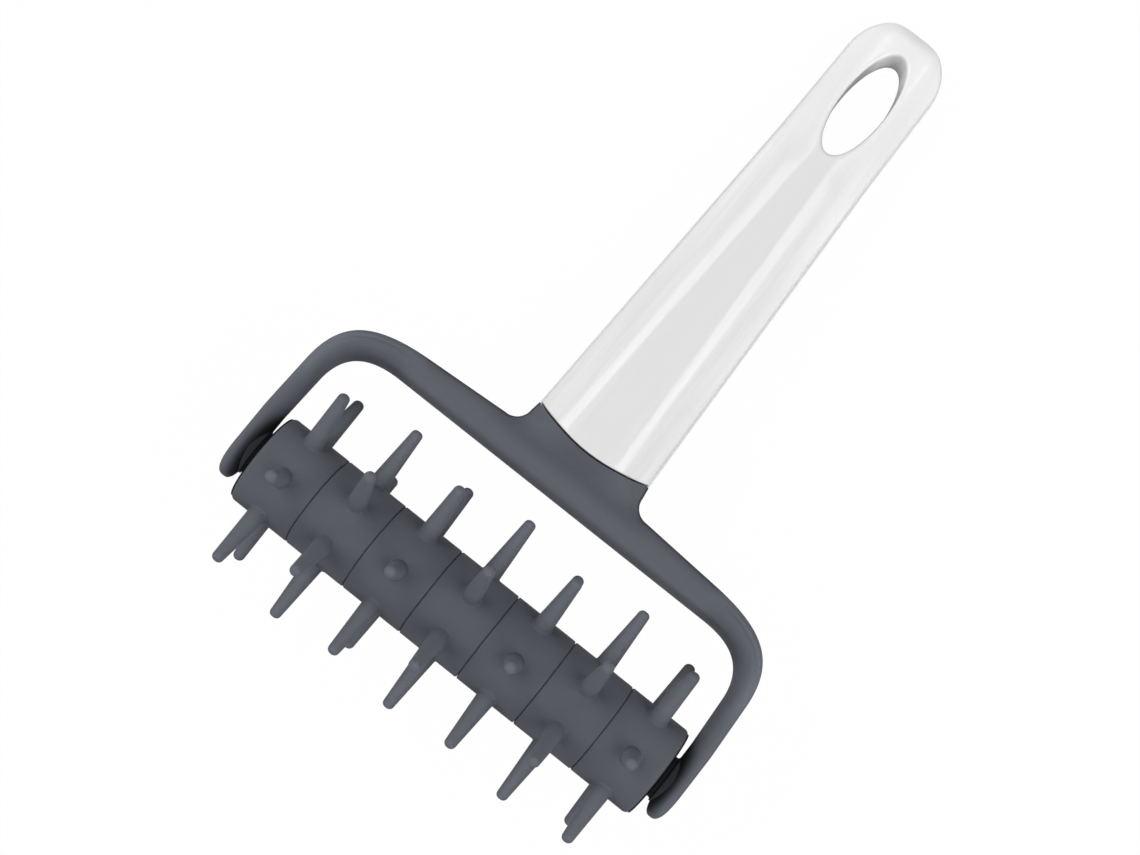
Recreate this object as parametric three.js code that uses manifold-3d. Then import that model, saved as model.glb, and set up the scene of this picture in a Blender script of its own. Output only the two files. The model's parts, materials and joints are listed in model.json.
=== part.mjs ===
// Dough docker: seven pinned rings turn together on a steel rod, between the arms of a yoke whose
// tang plugs into a hollow handle. It is built with the axle along X and the handle along Y, and the
// last lines lay it down as it rests on a table, on its pins and the end of its handle.
import * as THREE from 'three';
import { mergeVertices } from 'three/addons/utils/BufferGeometryUtils.js';
import Module from 'manifold-3d';

const wasm = await Module();
wasm.setup();

// Clearance between pieces that fit together, in millimetres like every size below
const FIT = 0.3;
// How far a cutting shape runs past what it cuts
const OVERRUN = 1;

// Rings: an outer rim and a keyed hub joined by a thin web at the mould's parting line
const RING_COUNT = 7;
const RING_WIDTH = 17.75;
const RING_RADIUS = 12.7;
const RING_BEVEL = 0.3;
const DRUM_END_ROUND = 1.5;
const RIM_WALL = 2.4;
const WEB_THICKNESS = 2.4;
const HUB_WALL = 2.2;
const CAP_THICKNESS = 1.2;

// Pins, six to a ring, seen from the axle: foot, shank and rounded tip
const PINS_PER_RING = 6;
const PIN_REACH = 29.4;
const PIN_FOOT_RADIUS = 3;
const PIN_ROOT_RADIUS = 2.5;
const PIN_TIP_RADIUS = 1.58;
const PIN_FILLET = 0.7;
// How far the roller has rolled back from a pin standing square to the handle, in degrees
const ROLLER_TURN = 5.8;

// Hexagonal core that carries and keys the rings, the caps that close its ends, and the rod
const CORE_ACROSS_FLATS = 11.4;
const CORE_BORE_RADIUS = 4.2;
const SPIGOT_LENGTH = 9;
const ROD_RADIUS = 2;
const ROD_CHAMFER = 0.4;

// Yoke: a bar that bends down into two arms, each with a boss that holds one end of the rod
const BAR_INNER_Y = 36.75;
const BAR_DEPTH_MIDDLE = 11.45;
const BAR_DEPTH_END = 8.45;
const BAR_STRAIGHT_OUTER = 46;
const BAR_STRAIGHT_INNER = 49;
const BAR_HALF_Z = 6.3;
const ARM_HALF_Z = 6.1;
const ARM_OUTER_X = 70.6;
const ARM_THICKNESS = 5.6;
const ARM_SPREAD = 0.7;
const BEND_END_OUTER_Y = 26;
const BEND_END_INNER_Y = 24;
const ARM_WIDEST_Y = 11;
const ARM_DROP = 9.6;
const BOSS_HALF_WIDTH = 6;
const BOSS_HALF_Z = 4.2;
const SIDE_PLAY = 0.45;
const SOCKET_DEPTH = 4.9;

// Handle, measured along Y from the axle
const JOINT_Y = 54.4;
const JOINT_RISE = 3.7;
const JOINT_GAP = 0.3;
const GRIP_END_Y = 190.8;
const GRIP_BASE_HALF_WIDTH = 17.45;
const GRIP_HOLE_HALF_WIDTH = 14;
const GRIP_END_HALF_WIDTH = 13.55;
const GRIP_BASE_HALF_Z = 9.6;
const GRIP_END_HALF_Z = 6;
const GRIP_EDGE_HALF_Z = 4.2;
const GRIP_END_EDGE_HALF_Z = 2.6;
const GRIP_CORNER = 1.5;
const GRIP_END_ROUND = 15;
const GRIP_END_EDGE_ROUND = 8;
const FACET_BASE_HALF_WIDTH = 9.3;
const FACET_HOLE_HALF_WIDTH = 5.3;
const FACET_END_HALF_WIDTH = 8.6;
const GRIP_WALL = 2.8;
const CAVITY_END_Y = 140;
const CAVITY_END_WALL = 4.2;

// Hanging hole
const HOLE_CENTRE_Y = 165.8;
const HOLE_HALF_LENGTH = 16.2;
const HOLE_HALF_WIDTH = 6.1;
const HOLE_THROAT_HALF_Z = 4.7;
const HOLE_FLARE = 1.1;

// Neck between the bar and the handle, and the tang inside the handle
const NECK_FILLET_X = 4.6;
const NECK_FILLET_Y = 4.2;
const NECK_SPREAD = 0.5;
const NECK_EDGE_HALF_Z = 2.4;
const PLUG_LENGTH = 12;
const TANG_LENGTH = 48;
const TANG_RIB = 2.6;

// Numbers of facets and points
const RING_SIDES = 30;
const PIN_SIDES = 8;
const ROD_SIDES = 18;
const BOSS_SIDES = 24;
const BORE_SIDES = 24;
const ARC_SIDES = 160;
const HOLE_SIDES = 32;
const BAR_POINTS = 16;
const BEND_STEPS = 7;
const TIP_STEPS = 5;
const FILLET_STEPS = 4;
const END_STEPS = 6;

// Roundness of the bar's section and of the ends, as the power of a superellipse: 2 is an ellipse
const BAR_POWER = 2.6;
const TIP_POWER = 2.8;
const END_POWER = 2.45;

const ringPitch = RING_WIDTH + FIT;
const drumHalfLength = (RING_COUNT * ringPitch - FIT) / 2;
const hubRecess = CAP_THICKNESS + FIT;
const hubHalfWidth = RING_WIDTH / 2 - hubRecess;
const rimInnerRadius = RING_RADIUS - RIM_WALL;
const keyHalfFlat = CORE_ACROSS_FLATS / 2;
const armInnerX = ARM_OUTER_X - ARM_THICKNESS;
const bossFaceX = drumHalfLength + SIDE_PLAY;

function finish(name, color, roughness, metalness) {
  return new THREE.MeshStandardMaterial({ name, color, roughness, metalness });
}

const slate = finish('slate_plastic', 0x5b5f69, 0.5, 0);
const white = finish('white_plastic', 0xececee, 0.2, 0);
const bearing = finish('bearing_plastic', 0x4a4d55, 0.5, 0);
const steel = finish('steel', 0xb8babd, 0.3, 1);

// Makes a solid that can be joined and cut from a closed geometry
function solid(geometry) {
  geometry.deleteAttribute('normal');
  geometry.deleteAttribute('uv');
  const merged = mergeVertices(geometry);
  const corners = merged.index.array;
  const kept = [];
  for (let i = 0; i < corners.length; i += 3) {
    const [a, b, c] = [corners[i], corners[i + 1], corners[i + 2]];
    if (a !== b && b !== c && c !== a) kept.push(a, b, c);
  }
  const vertProperties = merged.attributes.position.array;
  return new wasm.Manifold(new wasm.Mesh({ numProp: 3, vertProperties, triVerts: new Uint32Array(kept) }));
}

// Names a solid as one piece of the docker
function piece(name, shape, material) {
  const { vertProperties, triVerts } = shape.getMesh();
  const geometry = new THREE.BufferGeometry();
  geometry.setAttribute('position', new THREE.BufferAttribute(vertProperties, 3));
  geometry.setIndex(new THREE.BufferAttribute(triVerts, 1));
  geometry.computeVertexNormals();
  const mesh = new THREE.Mesh(geometry, material);
  mesh.name = name;
  return mesh;
}

// Skins a row of sections that have the same number of points, and closes both ends with a fan
function loft(sections) {
  const count = sections[0].length;
  const points = sections.flat();
  const index = [];
  for (let s = 0; s + 1 < sections.length; s += 1) {
    for (let i = 0; i < count; i += 1) {
      const a = s * count + i;
      const b = s * count + ((i + 1) % count);
      index.push(a, b, b + count, a, b + count, a + count);
    }
  }
  const closeEnd = (first, reversed) => {
    const centre = new THREE.Vector3();
    points.slice(first, first + count).forEach((p) => centre.addScaledVector(p, 1 / count));
    points.push(centre);
    for (let i = 0; i < count; i += 1) {
      const a = first + i;
      const b = first + ((i + 1) % count);
      index.push(points.length - 1, reversed ? b : a, reversed ? a : b);
    }
  };
  const lastSection = (sections.length - 1) * count;
  closeEnd(0, true);
  closeEnd(lastSection, false);
  const geometry = new THREE.BufferGeometry().setFromPoints(points);
  geometry.setIndex(index);
  return solid(geometry);
}

// Revolves an outline of [radius, place along the axis] pairs about X
function turned(outline, sides) {
  const profile = outline.map(([radius, along]) => new THREE.Vector2(radius, along));
  const geometry = new THREE.LatheGeometry(profile, sides);
  geometry.rotateZ(-Math.PI / 2);
  return solid(geometry);
}

// A round bar along X between two places
function roundBar(radius, from, to, sides) {
  return turned([[0, from], [radius, from], [radius, to], [0, to]], sides);
}

// A block between two corners
function block(low, high) {
  const size = high.clone().sub(low);
  const geometry = new THREE.BoxGeometry(size.x, size.y, size.z);
  const centre = low.clone().add(high).multiplyScalar(1 / 2);
  geometry.translate(centre.x, centre.y, centre.z);
  return solid(geometry);
}

// A hexagonal bar along X, with two flats square to Z, and a round bore if a radius is given
function hexagonalBar(halfFlat, halfLength, boreRadius) {
  const outline = new THREE.Shape();
  const cornerRadius = halfFlat / Math.cos(Math.PI / 6);
  for (let k = 0; k < 6; k += 1) {
    const angle = (k * Math.PI) / 3;
    const place = [cornerRadius * Math.cos(angle), cornerRadius * Math.sin(angle)];
    if (k === 0) outline.moveTo(...place);
    else outline.lineTo(...place);
  }
  outline.closePath();
  const depth = 2 * halfLength;
  const geometry = new THREE.ExtrudeGeometry(outline, { depth, bevelEnabled: false });
  geometry.translate(0, 0, -halfLength);
  geometry.rotateX(Math.PI / 2);
  geometry.rotateZ(Math.PI / 2);
  const bar = solid(geometry);
  if (!boreRadius) return bar;
  return bar.subtract(roundBar(boreRadius, -halfLength - OVERRUN, halfLength + OVERRUN, BORE_SIDES));
}

// One pin, standing out along Y from inside the rim
function pinGeometry() {
  const root = rimInnerRadius + RIM_WALL / 4;
  const skin = Math.sqrt(RING_RADIUS ** 2 - PIN_FOOT_RADIUS ** 2);
  const tipStart = PIN_REACH - PIN_TIP_RADIUS;
  const halfTurn = Math.SQRT1_2 * PIN_TIP_RADIUS;
  const profile = [
    [0, root], [PIN_FOOT_RADIUS, root], [PIN_FOOT_RADIUS, skin],
    [PIN_ROOT_RADIUS, RING_RADIUS + PIN_FILLET], [PIN_TIP_RADIUS, tipStart],
    [halfTurn, tipStart + halfTurn], [0, PIN_REACH],
  ];
  return new THREE.LatheGeometry(profile.map(([x, y]) => new THREE.Vector2(x, y)), PIN_SIDES);
}

// One side of a ring's outline, from the axis out over the hub, the web and the rim to its rounded edge
function ringSide(edgeRound) {
  const half = RING_WIDTH / 2;
  const web = WEB_THICKNESS / 2;
  const hubRadius = (keyHalfFlat + FIT) / Math.cos(Math.PI / 6) + HUB_WALL;
  const cut = edgeRound * (1 - Math.SQRT1_2);
  return [
    [0, hubHalfWidth], [hubRadius, hubHalfWidth], [hubRadius, web], [rimInnerRadius, web],
    [rimInnerRadius, half], [RING_RADIUS - edgeRound, half], [RING_RADIUS - cut, half - cut],
    [RING_RADIUS, half - edgeRound],
  ];
}

// A pinned ring, its first pin turned up from Y by an angle in degrees; the key stays where it is
function pinRing(firstPin, leftRound, rightRound) {
  const half = RING_WIDTH / 2;
  const left = ringSide(leftRound).map(([radius, along]) => [radius, -along]);
  let ring = turned([...left, ...ringSide(rightRound).reverse()], RING_SIDES);
  for (let k = 0; k < PINS_PER_RING; k += 1) {
    const pin = pinGeometry();
    pin.rotateX(THREE.MathUtils.degToRad(firstPin + (k * 360) / PINS_PER_RING));
    ring = ring.add(solid(pin));
  }
  return ring.subtract(hexagonalBar(keyHalfFlat + FIT, half + OVERRUN));
}

// A flanged bush that closes one end of the roller and turns on the rod; side is 1 or -1
function bearingCap(side) {
  const outer = drumHalfLength;
  const inner = drumHalfLength - CAP_THICKNESS;
  const spigotEnd = inner - SPIGOT_LENGTH;
  const bore = ROD_RADIUS + FIT;
  const spigotRadius = CORE_BORE_RADIUS - FIT;
  const flangeRadius = rimInnerRadius - FIT;
  const outline = [
    [bore, spigotEnd], [spigotRadius, spigotEnd], [spigotRadius, inner],
    [flangeRadius, inner], [flangeRadius, outer], [bore, outer], [bore, spigotEnd],
  ].map(([radius, along]) => [radius, side * along]);
  return turned(side > 0 ? outline : outline.reverse(), BORE_SIDES);
}

// The fixed steel rod, with chamfered ends
function axleRod() {
  const end = bossFaceX + SOCKET_DEPTH - FIT;
  const side = [[0, end], [ROD_RADIUS - ROD_CHAMFER, end], [ROD_RADIUS, end - ROD_CHAMFER]];
  const mirrored = side.map(([radius, along]) => [radius, -along]);
  return turned([...mirrored, ...side.reverse()], ROD_SIDES);
}

const rounded = (value, power) => Math.sign(value) * Math.abs(value) ** (2 / power);
const fallOff = (share, power) => Math.max(0, 1 - share ** power) ** (1 / power);

// A superellipse section of the bar or an arm, between its inner and outer edge
function barSection(inner, outer, halfZ) {
  return Array.from({ length: BAR_POINTS }, (_, i) => {
    const turn = (2 * Math.PI * i) / BAR_POINTS;
    const share = (1 + rounded(Math.cos(turn), BAR_POWER)) / 2;
    const place = inner.clone().lerp(outer, share);
    return new THREE.Vector3(place.x, place.y, halfZ * rounded(Math.sin(turn), BAR_POWER));
  });
}

// A bend that leaves the bar along one direction and runs into the arm along another
function bend(start, startSlope, end, endSlope, reachShare) {
  const across = reachShare * (end.x - start.x);
  const down = reachShare * (start.y - end.y);
  const first = new THREE.Vector2(start.x + across, start.y + startSlope * across);
  const second = new THREE.Vector2(end.x - endSlope * down, end.y + down);
  return new THREE.CubicBezierCurve(start, first, second, end);
}

// The bar and its two arms as one swept solid
function bowedBar() {
  const outerReachShare = 0.68;
  const innerReachShare = 0.65;
  const middleOuter = new THREE.Vector2(0, BAR_INNER_Y + BAR_DEPTH_MIDDLE);
  const middleInner = new THREE.Vector2(0, BAR_INNER_Y);
  const outerStart = new THREE.Vector2(BAR_STRAIGHT_OUTER, BAR_INNER_Y + BAR_DEPTH_END);
  const innerStart = new THREE.Vector2(BAR_STRAIGHT_INNER, BAR_INNER_Y);
  const outerEnd = new THREE.Vector2(ARM_OUTER_X - ARM_SPREAD, BEND_END_OUTER_Y);
  const innerEnd = new THREE.Vector2(armInnerX - ARM_SPREAD, BEND_END_INNER_Y);
  const barSlope = (BAR_DEPTH_END - BAR_DEPTH_MIDDLE) / BAR_STRAIGHT_OUTER;
  const armSlope = ARM_SPREAD / (BEND_END_OUTER_Y - ARM_WIDEST_Y);
  const outerBend = bend(outerStart, barSlope, outerEnd, armSlope, outerReachShare);
  const innerBend = bend(innerStart, 0, innerEnd, armSlope, innerReachShare);
  const half = [barSection(middleInner, middleOuter, BAR_HALF_Z)];
  for (let s = 0; s <= BEND_STEPS; s += 1) {
    const share = s / BEND_STEPS;
    const halfZ = THREE.MathUtils.lerp(BAR_HALF_Z, ARM_HALF_Z, share);
    half.push(barSection(innerBend.getPoint(share), outerBend.getPoint(share), halfZ));
  }
  const tipLastShare = 0.95;
  const armAt = (y, share) => {
    const middle = ARM_OUTER_X - ARM_THICKNESS / 2;
    const halfThickness = (share * ARM_THICKNESS) / 2;
    const inner = new THREE.Vector2(middle - halfThickness, y);
    const outer = new THREE.Vector2(middle + halfThickness, y);
    return barSection(inner, outer, share * ARM_HALF_Z);
  };
  half.push(armAt(ARM_WIDEST_Y, 1));
  for (let s = 0; s <= TIP_STEPS; s += 1) {
    const share = Math.sin((s / TIP_STEPS) * tipLastShare * (Math.PI / 2));
    half.push(armAt(-ARM_DROP * share, fallOff(share, TIP_POWER)));
  }
  const mirrored = half.slice(1).map((section) => section.map((p) => new THREE.Vector3(-p.x, p.y, p.z)));
  return loft([...mirrored.reverse(), ...half]);
}

// A section across the handle or neck: a flat facet front and back, sloping sides and rounded corners
function gripSection(y, halfWidth, halfZ, facet, edgeHalfZ, corner) {
  const slope = new THREE.Vector2(halfWidth - facet, edgeHalfZ - halfZ).normalize();
  const quarter = [
    [halfWidth, edgeHalfZ - Math.min(corner, edgeHalfZ / 2)],
    [halfWidth - corner * slope.x, edgeHalfZ - corner * slope.y],
    [facet + corner * slope.x, halfZ + corner * slope.y],
    [facet - corner, halfZ],
  ];
  const upper = [...quarter, ...quarter.map(([x, z]) => [-x, z]).reverse()];
  const lower = upper.map(([x, z]) => [-x, -z]);
  return [...upper, ...lower].map(([x, z]) => new THREE.Vector3(x, y, z)).reverse();
}

const along = (y, from, to) => THREE.MathUtils.clamp((y - from) / (to - from), 0, 1);
const between = (y, from, to, a, b) => THREE.MathUtils.lerp(a, b, along(y, from, to));
const holeStartY = HOLE_CENTRE_Y - HOLE_HALF_LENGTH;
const facetFlat = HOLE_CENTRE_Y - HOLE_HALF_LENGTH / 2;
const taperEndY = GRIP_END_Y - GRIP_END_ROUND;
const thinEndY = GRIP_END_Y - GRIP_END_EDGE_ROUND;
const jointRadius = (GRIP_BASE_HALF_WIDTH ** 2 + JOINT_RISE ** 2) / (2 * JOINT_RISE);
const jointMiddleY = JOINT_Y - JOINT_RISE;

// The handle's section at one place along it, drawn in by an inset for what is inside
function handleSection(y, inset) {
  const narrowing = between(y, JOINT_Y, holeStartY, GRIP_BASE_HALF_WIDTH, GRIP_HOLE_HALF_WIDTH);
  const plainWidth = y < holeStartY ? narrowing
    : between(y, holeStartY, taperEndY, GRIP_HOLE_HALF_WIDTH, GRIP_END_HALF_WIDTH);
  const endShare = fallOff(along(y, taperEndY, GRIP_END_Y), END_POWER);
  const thinShare = fallOff(along(y, thinEndY, GRIP_END_Y), END_POWER);
  const plainZ = between(y, JOINT_Y, thinEndY, GRIP_BASE_HALF_Z, GRIP_END_HALF_Z);
  const edgeZ = between(y, JOINT_Y, thinEndY, GRIP_EDGE_HALF_Z, GRIP_END_EDGE_HALF_Z);
  const facet = y < holeStartY
    ? between(y, JOINT_Y, holeStartY, FACET_BASE_HALF_WIDTH, FACET_HOLE_HALF_WIDTH)
    : between(y, holeStartY, facetFlat, FACET_HOLE_HALF_WIDTH, FACET_END_HALF_WIDTH);
  const corner = GRIP_CORNER * thinShare;
  const halfWidth = plainWidth * endShare - inset;
  const halfZ = plainZ * thinShare - inset;
  const facetWidth = facet * endShare - inset / 2;
  return gripSection(y, halfWidth, halfZ, facetWidth, edgeZ * thinShare - inset / 2, corner);
}

// What lies beyond the handle's rounded base, as a cutting shape with the arc moved by a gap
function belowJoint(gap) {
  const reach = GRIP_BASE_HALF_WIDTH + NECK_FILLET_X + OVERRUN;
  const deep = GRIP_BASE_HALF_Z + OVERRUN;
  const low = new THREE.Vector3(-reach, -ARM_DROP, -deep);
  const high = new THREE.Vector3(reach, JOINT_Y + OVERRUN, deep);
  return block(low, high).subtract(jointDrum(gap));
}

// The drum, square to the handle, that the arc of the joint is part of
function jointDrum(gap) {
  const length = 2 * (GRIP_BASE_HALF_Z + 2 * OVERRUN);
  const radius = jointRadius + gap;
  const geometry = new THREE.CylinderGeometry(radius, radius, length, ARC_SIDES);
  geometry.rotateX(Math.PI / 2);
  geometry.translate(0, jointMiddleY + jointRadius, 0);
  return solid(geometry);
}

// The hole to hang it by, flared at both faces
function hangingHole() {
  const flareMiddleShare = 0.25;
  const outZ = GRIP_BASE_HALF_Z;
  const throat = HOLE_THROAT_HALF_Z;
  const flareZ = (GRIP_END_HALF_Z + throat) / 2;
  const flareSlope = HOLE_FLARE / (GRIP_END_HALF_Z - throat);
  const outFlare = HOLE_FLARE / 2 + flareSlope * (outZ - flareZ);
  const levels = [
    [-outZ, outFlare], [-flareZ, flareMiddleShare * HOLE_FLARE], [-throat, 0],
    [throat, 0], [flareZ, flareMiddleShare * HOLE_FLARE], [outZ, outFlare],
  ];
  return loft(levels.map(([z, flare]) => Array.from({ length: HOLE_SIDES }, (_, i) => {
    const turn = (2 * Math.PI * i) / HOLE_SIDES;
    const x = (HOLE_HALF_WIDTH + flare) * Math.cos(turn);
    const y = HOLE_CENTRE_Y + (HOLE_HALF_LENGTH + flare) * Math.sin(turn);
    return new THREE.Vector3(x, y, z);
  })));
}

// The hollow handle, open where the tang goes in
function handle() {
  const endLastShare = 0.95;
  const stations = [jointMiddleY, JOINT_Y, (JOINT_Y + holeStartY) / 2, holeStartY, facetFlat, taperEndY];
  for (let s = 1; s <= END_STEPS; s += 1) {
    const share = Math.sin((s / END_STEPS) * endLastShare * (Math.PI / 2));
    stations.push(taperEndY + GRIP_END_ROUND * share);
  }
  const outside = loft(stations.map((y) => handleSection(y, 0)));
  const cavityTaper = CAVITY_END_Y - GRIP_WALL;
  const cavity = loft([
    handleSection(jointMiddleY - OVERRUN, GRIP_WALL), handleSection(JOINT_Y, GRIP_WALL),
    handleSection(cavityTaper, GRIP_WALL), handleSection(CAVITY_END_Y, CAVITY_END_WALL),
  ]);
  return outside.subtract(belowJoint(0)).subtract(cavity).subtract(hangingHole());
}

// The neck between bar and handle, its sides sweeping out in a fillet that meets the bar
function neck() {
  const middle = BAR_INNER_Y + BAR_DEPTH_END / 2;
  const base = GRIP_BASE_HALF_WIDTH + NECK_SPREAD;
  const alongBarShare = (base + NECK_FILLET_X) / BAR_STRAIGHT_OUTER;
  const filletEnd = BAR_INNER_Y + THREE.MathUtils.lerp(BAR_DEPTH_MIDDLE, BAR_DEPTH_END, alongBarShare);
  const at = (y, halfWidth) => {
    const share = THREE.MathUtils.smoothstep(y, middle, JOINT_Y);
    const halfZ = THREE.MathUtils.lerp(BAR_HALF_Z, GRIP_BASE_HALF_Z, share);
    const edge = THREE.MathUtils.lerp(NECK_EDGE_HALF_Z, GRIP_EDGE_HALF_Z, share);
    return gripSection(y, halfWidth, halfZ, FACET_BASE_HALF_WIDTH, edge, GRIP_CORNER);
  };
  const sections = [at(middle, base + NECK_FILLET_X)];
  for (let s = 0; s <= FILLET_STEPS; s += 1) {
    const turn = (s / FILLET_STEPS) * (Math.PI / 2);
    sections.push(at(filletEnd + NECK_FILLET_Y * (1 - Math.cos(turn)),
      base + NECK_FILLET_X * (1 - Math.sin(turn))));
  }
  sections.push(at(JOINT_Y + OVERRUN, GRIP_BASE_HALF_WIDTH));
  return loft(sections).subtract(jointDrum(JOINT_GAP));
}

// The plug that fills the mouth of the handle, and the crossed ribs of the tang behind it
function tang() {
  const start = jointMiddleY - 2 * OVERRUN;
  const plugEnd = JOINT_Y + PLUG_LENGTH;
  const tangEnd = JOINT_Y + TANG_LENGTH;
  const inset = GRIP_WALL + FIT;
  const fitted = (end) => loft([start, JOINT_Y, end].map((y) => handleSection(y, inset)));
  const rib = TANG_RIB / 2;
  const wide = GRIP_BASE_HALF_WIDTH;
  const deep = GRIP_BASE_HALF_Z;
  const flat = block(new THREE.Vector3(-wide, start, -rib), new THREE.Vector3(wide, tangEnd, rib));
  const upright = block(new THREE.Vector3(-rib, start, -deep), new THREE.Vector3(rib, tangEnd, deep));
  return fitted(plugEnd).add(fitted(tangEnd).intersect(flat.add(upright)));
}

// The yoke: bar, arms, bosses, neck and tang in one moulding, with a blind socket in each arm
function yoke() {
  let body = bowedBar().add(neck()).add(tang());
  for (const side of [-1, 1]) {
    const ends = [side * bossFaceX, side * (armInnerX + ARM_THICKNESS / 2)].sort((a, b) => a - b);
    const boss = roundBar(BOSS_HALF_WIDTH, ends[0], ends[1], BOSS_SIDES);
    body = body.add(boss.scale([1, 1, BOSS_HALF_Z / BOSS_HALF_WIDTH]));
  }
  for (const side of [-1, 1]) {
    const mouth = side * (bossFaceX - OVERRUN);
    const bottom = side * (bossFaceX + SOCKET_DEPTH);
    const ends = [mouth, bottom].sort((a, b) => a - b);
    body = body.subtract(roundBar(ROD_RADIUS + FIT, ends[0], ends[1], ROD_SIDES));
  }
  return body;
}

const docker = new THREE.Group();
docker.add(piece('handle', handle(), white));
docker.add(piece('yoke', yoke(), slate));
docker.add(piece('axle_rod', axleRod(), steel));

const roller = new THREE.Group();
const coreHalfLength = drumHalfLength - hubRecess;
roller.add(piece('core_tube', hexagonalBar(keyHalfFlat, coreHalfLength, CORE_BORE_RADIUS), bearing));
for (let k = 0; k < RING_COUNT; k += 1) {
  const stagger = k % 2 ? 180 / PINS_PER_RING : 0;
  const leftRound = k === 0 ? DRUM_END_ROUND : RING_BEVEL;
  const rightRound = k === RING_COUNT - 1 ? DRUM_END_ROUND : RING_BEVEL;
  const shape = pinRing(90 + ROLLER_TURN + stagger, leftRound, rightRound);
  const ring = piece(`pin_ring_${k + 1}`, shape, slate);
  ring.position.x = (k - (RING_COUNT - 1) / 2) * ringPitch;
  roller.add(ring);
}
roller.add(piece('bearing_cap_left', bearingCap(-1), bearing));
roller.add(piece('bearing_cap_right', bearingCap(1), bearing));
docker.add(roller);

// It lies on its lowest pins and on the back of the handle, a little way into the rounding of its end
const restShare = 0.3;
const restY = thinEndY + restShare * GRIP_END_EDGE_ROUND;
const restZ = GRIP_END_HALF_Z * fallOff(restShare, END_POWER);
const tilt = Math.asin(PIN_REACH / Math.hypot(restY, restZ)) - Math.atan(restZ / restY);
docker.rotation.x = -tilt;
docker.updateMatrixWorld(true);
const bounds = new THREE.Box3().setFromObject(docker, true);
docker.position.set(0, -(bounds.min.y + bounds.max.y) / 2, -bounds.min.z);

const part = new THREE.Group();
part.add(docker);

export default part;
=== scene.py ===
"""A dough docker lying on a table: pinned rings between the arms of a grey yoke, and a white handle.

Shapes are worked out in the tool's own frame, in metres: the axle along X, the handle along Y and the
front up Z. lay_down() turns them into the row frame, where the tool rests on its pins and its handle.
"""

import functools
import json
import math

import bmesh
import bpy
import numpy as np
from mathutils import Matrix, Vector


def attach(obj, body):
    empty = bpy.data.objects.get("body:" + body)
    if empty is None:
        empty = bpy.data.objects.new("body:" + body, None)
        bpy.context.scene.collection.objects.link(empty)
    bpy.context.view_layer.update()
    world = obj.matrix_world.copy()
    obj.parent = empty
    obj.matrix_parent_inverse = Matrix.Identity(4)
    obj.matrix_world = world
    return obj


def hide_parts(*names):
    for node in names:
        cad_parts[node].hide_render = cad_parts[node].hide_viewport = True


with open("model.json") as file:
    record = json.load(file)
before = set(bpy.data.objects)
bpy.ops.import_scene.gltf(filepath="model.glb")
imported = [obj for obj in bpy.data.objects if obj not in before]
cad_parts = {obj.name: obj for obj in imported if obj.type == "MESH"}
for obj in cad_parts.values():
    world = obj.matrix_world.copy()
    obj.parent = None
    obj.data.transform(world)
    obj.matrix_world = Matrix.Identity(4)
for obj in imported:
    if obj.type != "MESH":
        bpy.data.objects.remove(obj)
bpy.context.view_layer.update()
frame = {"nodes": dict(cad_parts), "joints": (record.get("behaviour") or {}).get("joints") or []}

bl_info = {
    "name": "Dough docker",
    "version": (1, 0, 0),
    "blender": (4, 5, 0),
    "location": "3D View > Sidebar > Docker",
    "description": "Builds the visible pieces of a dough docker round its solid model",
    "category": "Add Mesh",
}

MM = 0.001
# Points closer than this are one point
WELD = 0.001 * MM
# Faces that meet at a sharper angle than this keep a crisp edge
CREASE = math.radians(38)
AXLE = np.array(frame["joints"][0]["pos_m"])
# Width of the camera's film in millimetres, as its focal length is
FILM_WIDTH = 36


def span(start, end):
    """Where something starts and ends, given here in millimetres and kept in metres."""
    return start * MM, end * MM


def length(name, description, millimetres):
    """A length that the user can change, given here in millimetres and kept in metres."""
    return bpy.props.FloatProperty(
        name=name, description=description, default=millimetres * MM, unit="LENGTH", precision=5
    )


def share(name, description, value, least=0):
    """A share up to 1 that the user can change."""
    return bpy.props.FloatProperty(name=name, description=description, default=value, min=least, max=1)


def factor(name, description, value):
    """How many times as much light as the plain colour a finish gives back."""
    return bpy.props.FloatProperty(name=name, description=description, default=value, min=0, max=2)


def exponent(name, description, value):
    """The power that shapes a rounded curve: 2 is round, and more is squarer."""
    return bpy.props.FloatProperty(name=name, description=description, default=value, min=1, max=9)


def angle(name, description, degrees):
    """An angle that the user can change, given here in degrees."""
    return bpy.props.FloatProperty(
        name=name, description=description, default=math.radians(degrees), subtype="ANGLE"
    )


def watts(name, description, default):
    """The power of a lamp in watts."""
    return bpy.props.FloatProperty(name=name, description=description, default=default, min=0, unit="POWER")


def colour(name, description, red, green, blue):
    """A colour as it shows on a screen, from 0 to 255 for each of its parts."""
    parts = tuple(screen / 255 for screen in (red, green, blue))
    return bpy.props.FloatVectorProperty(
        name=name, description=description, default=parts, subtype="COLOR_GAMMA", size=3, min=0, max=1
    )


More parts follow.
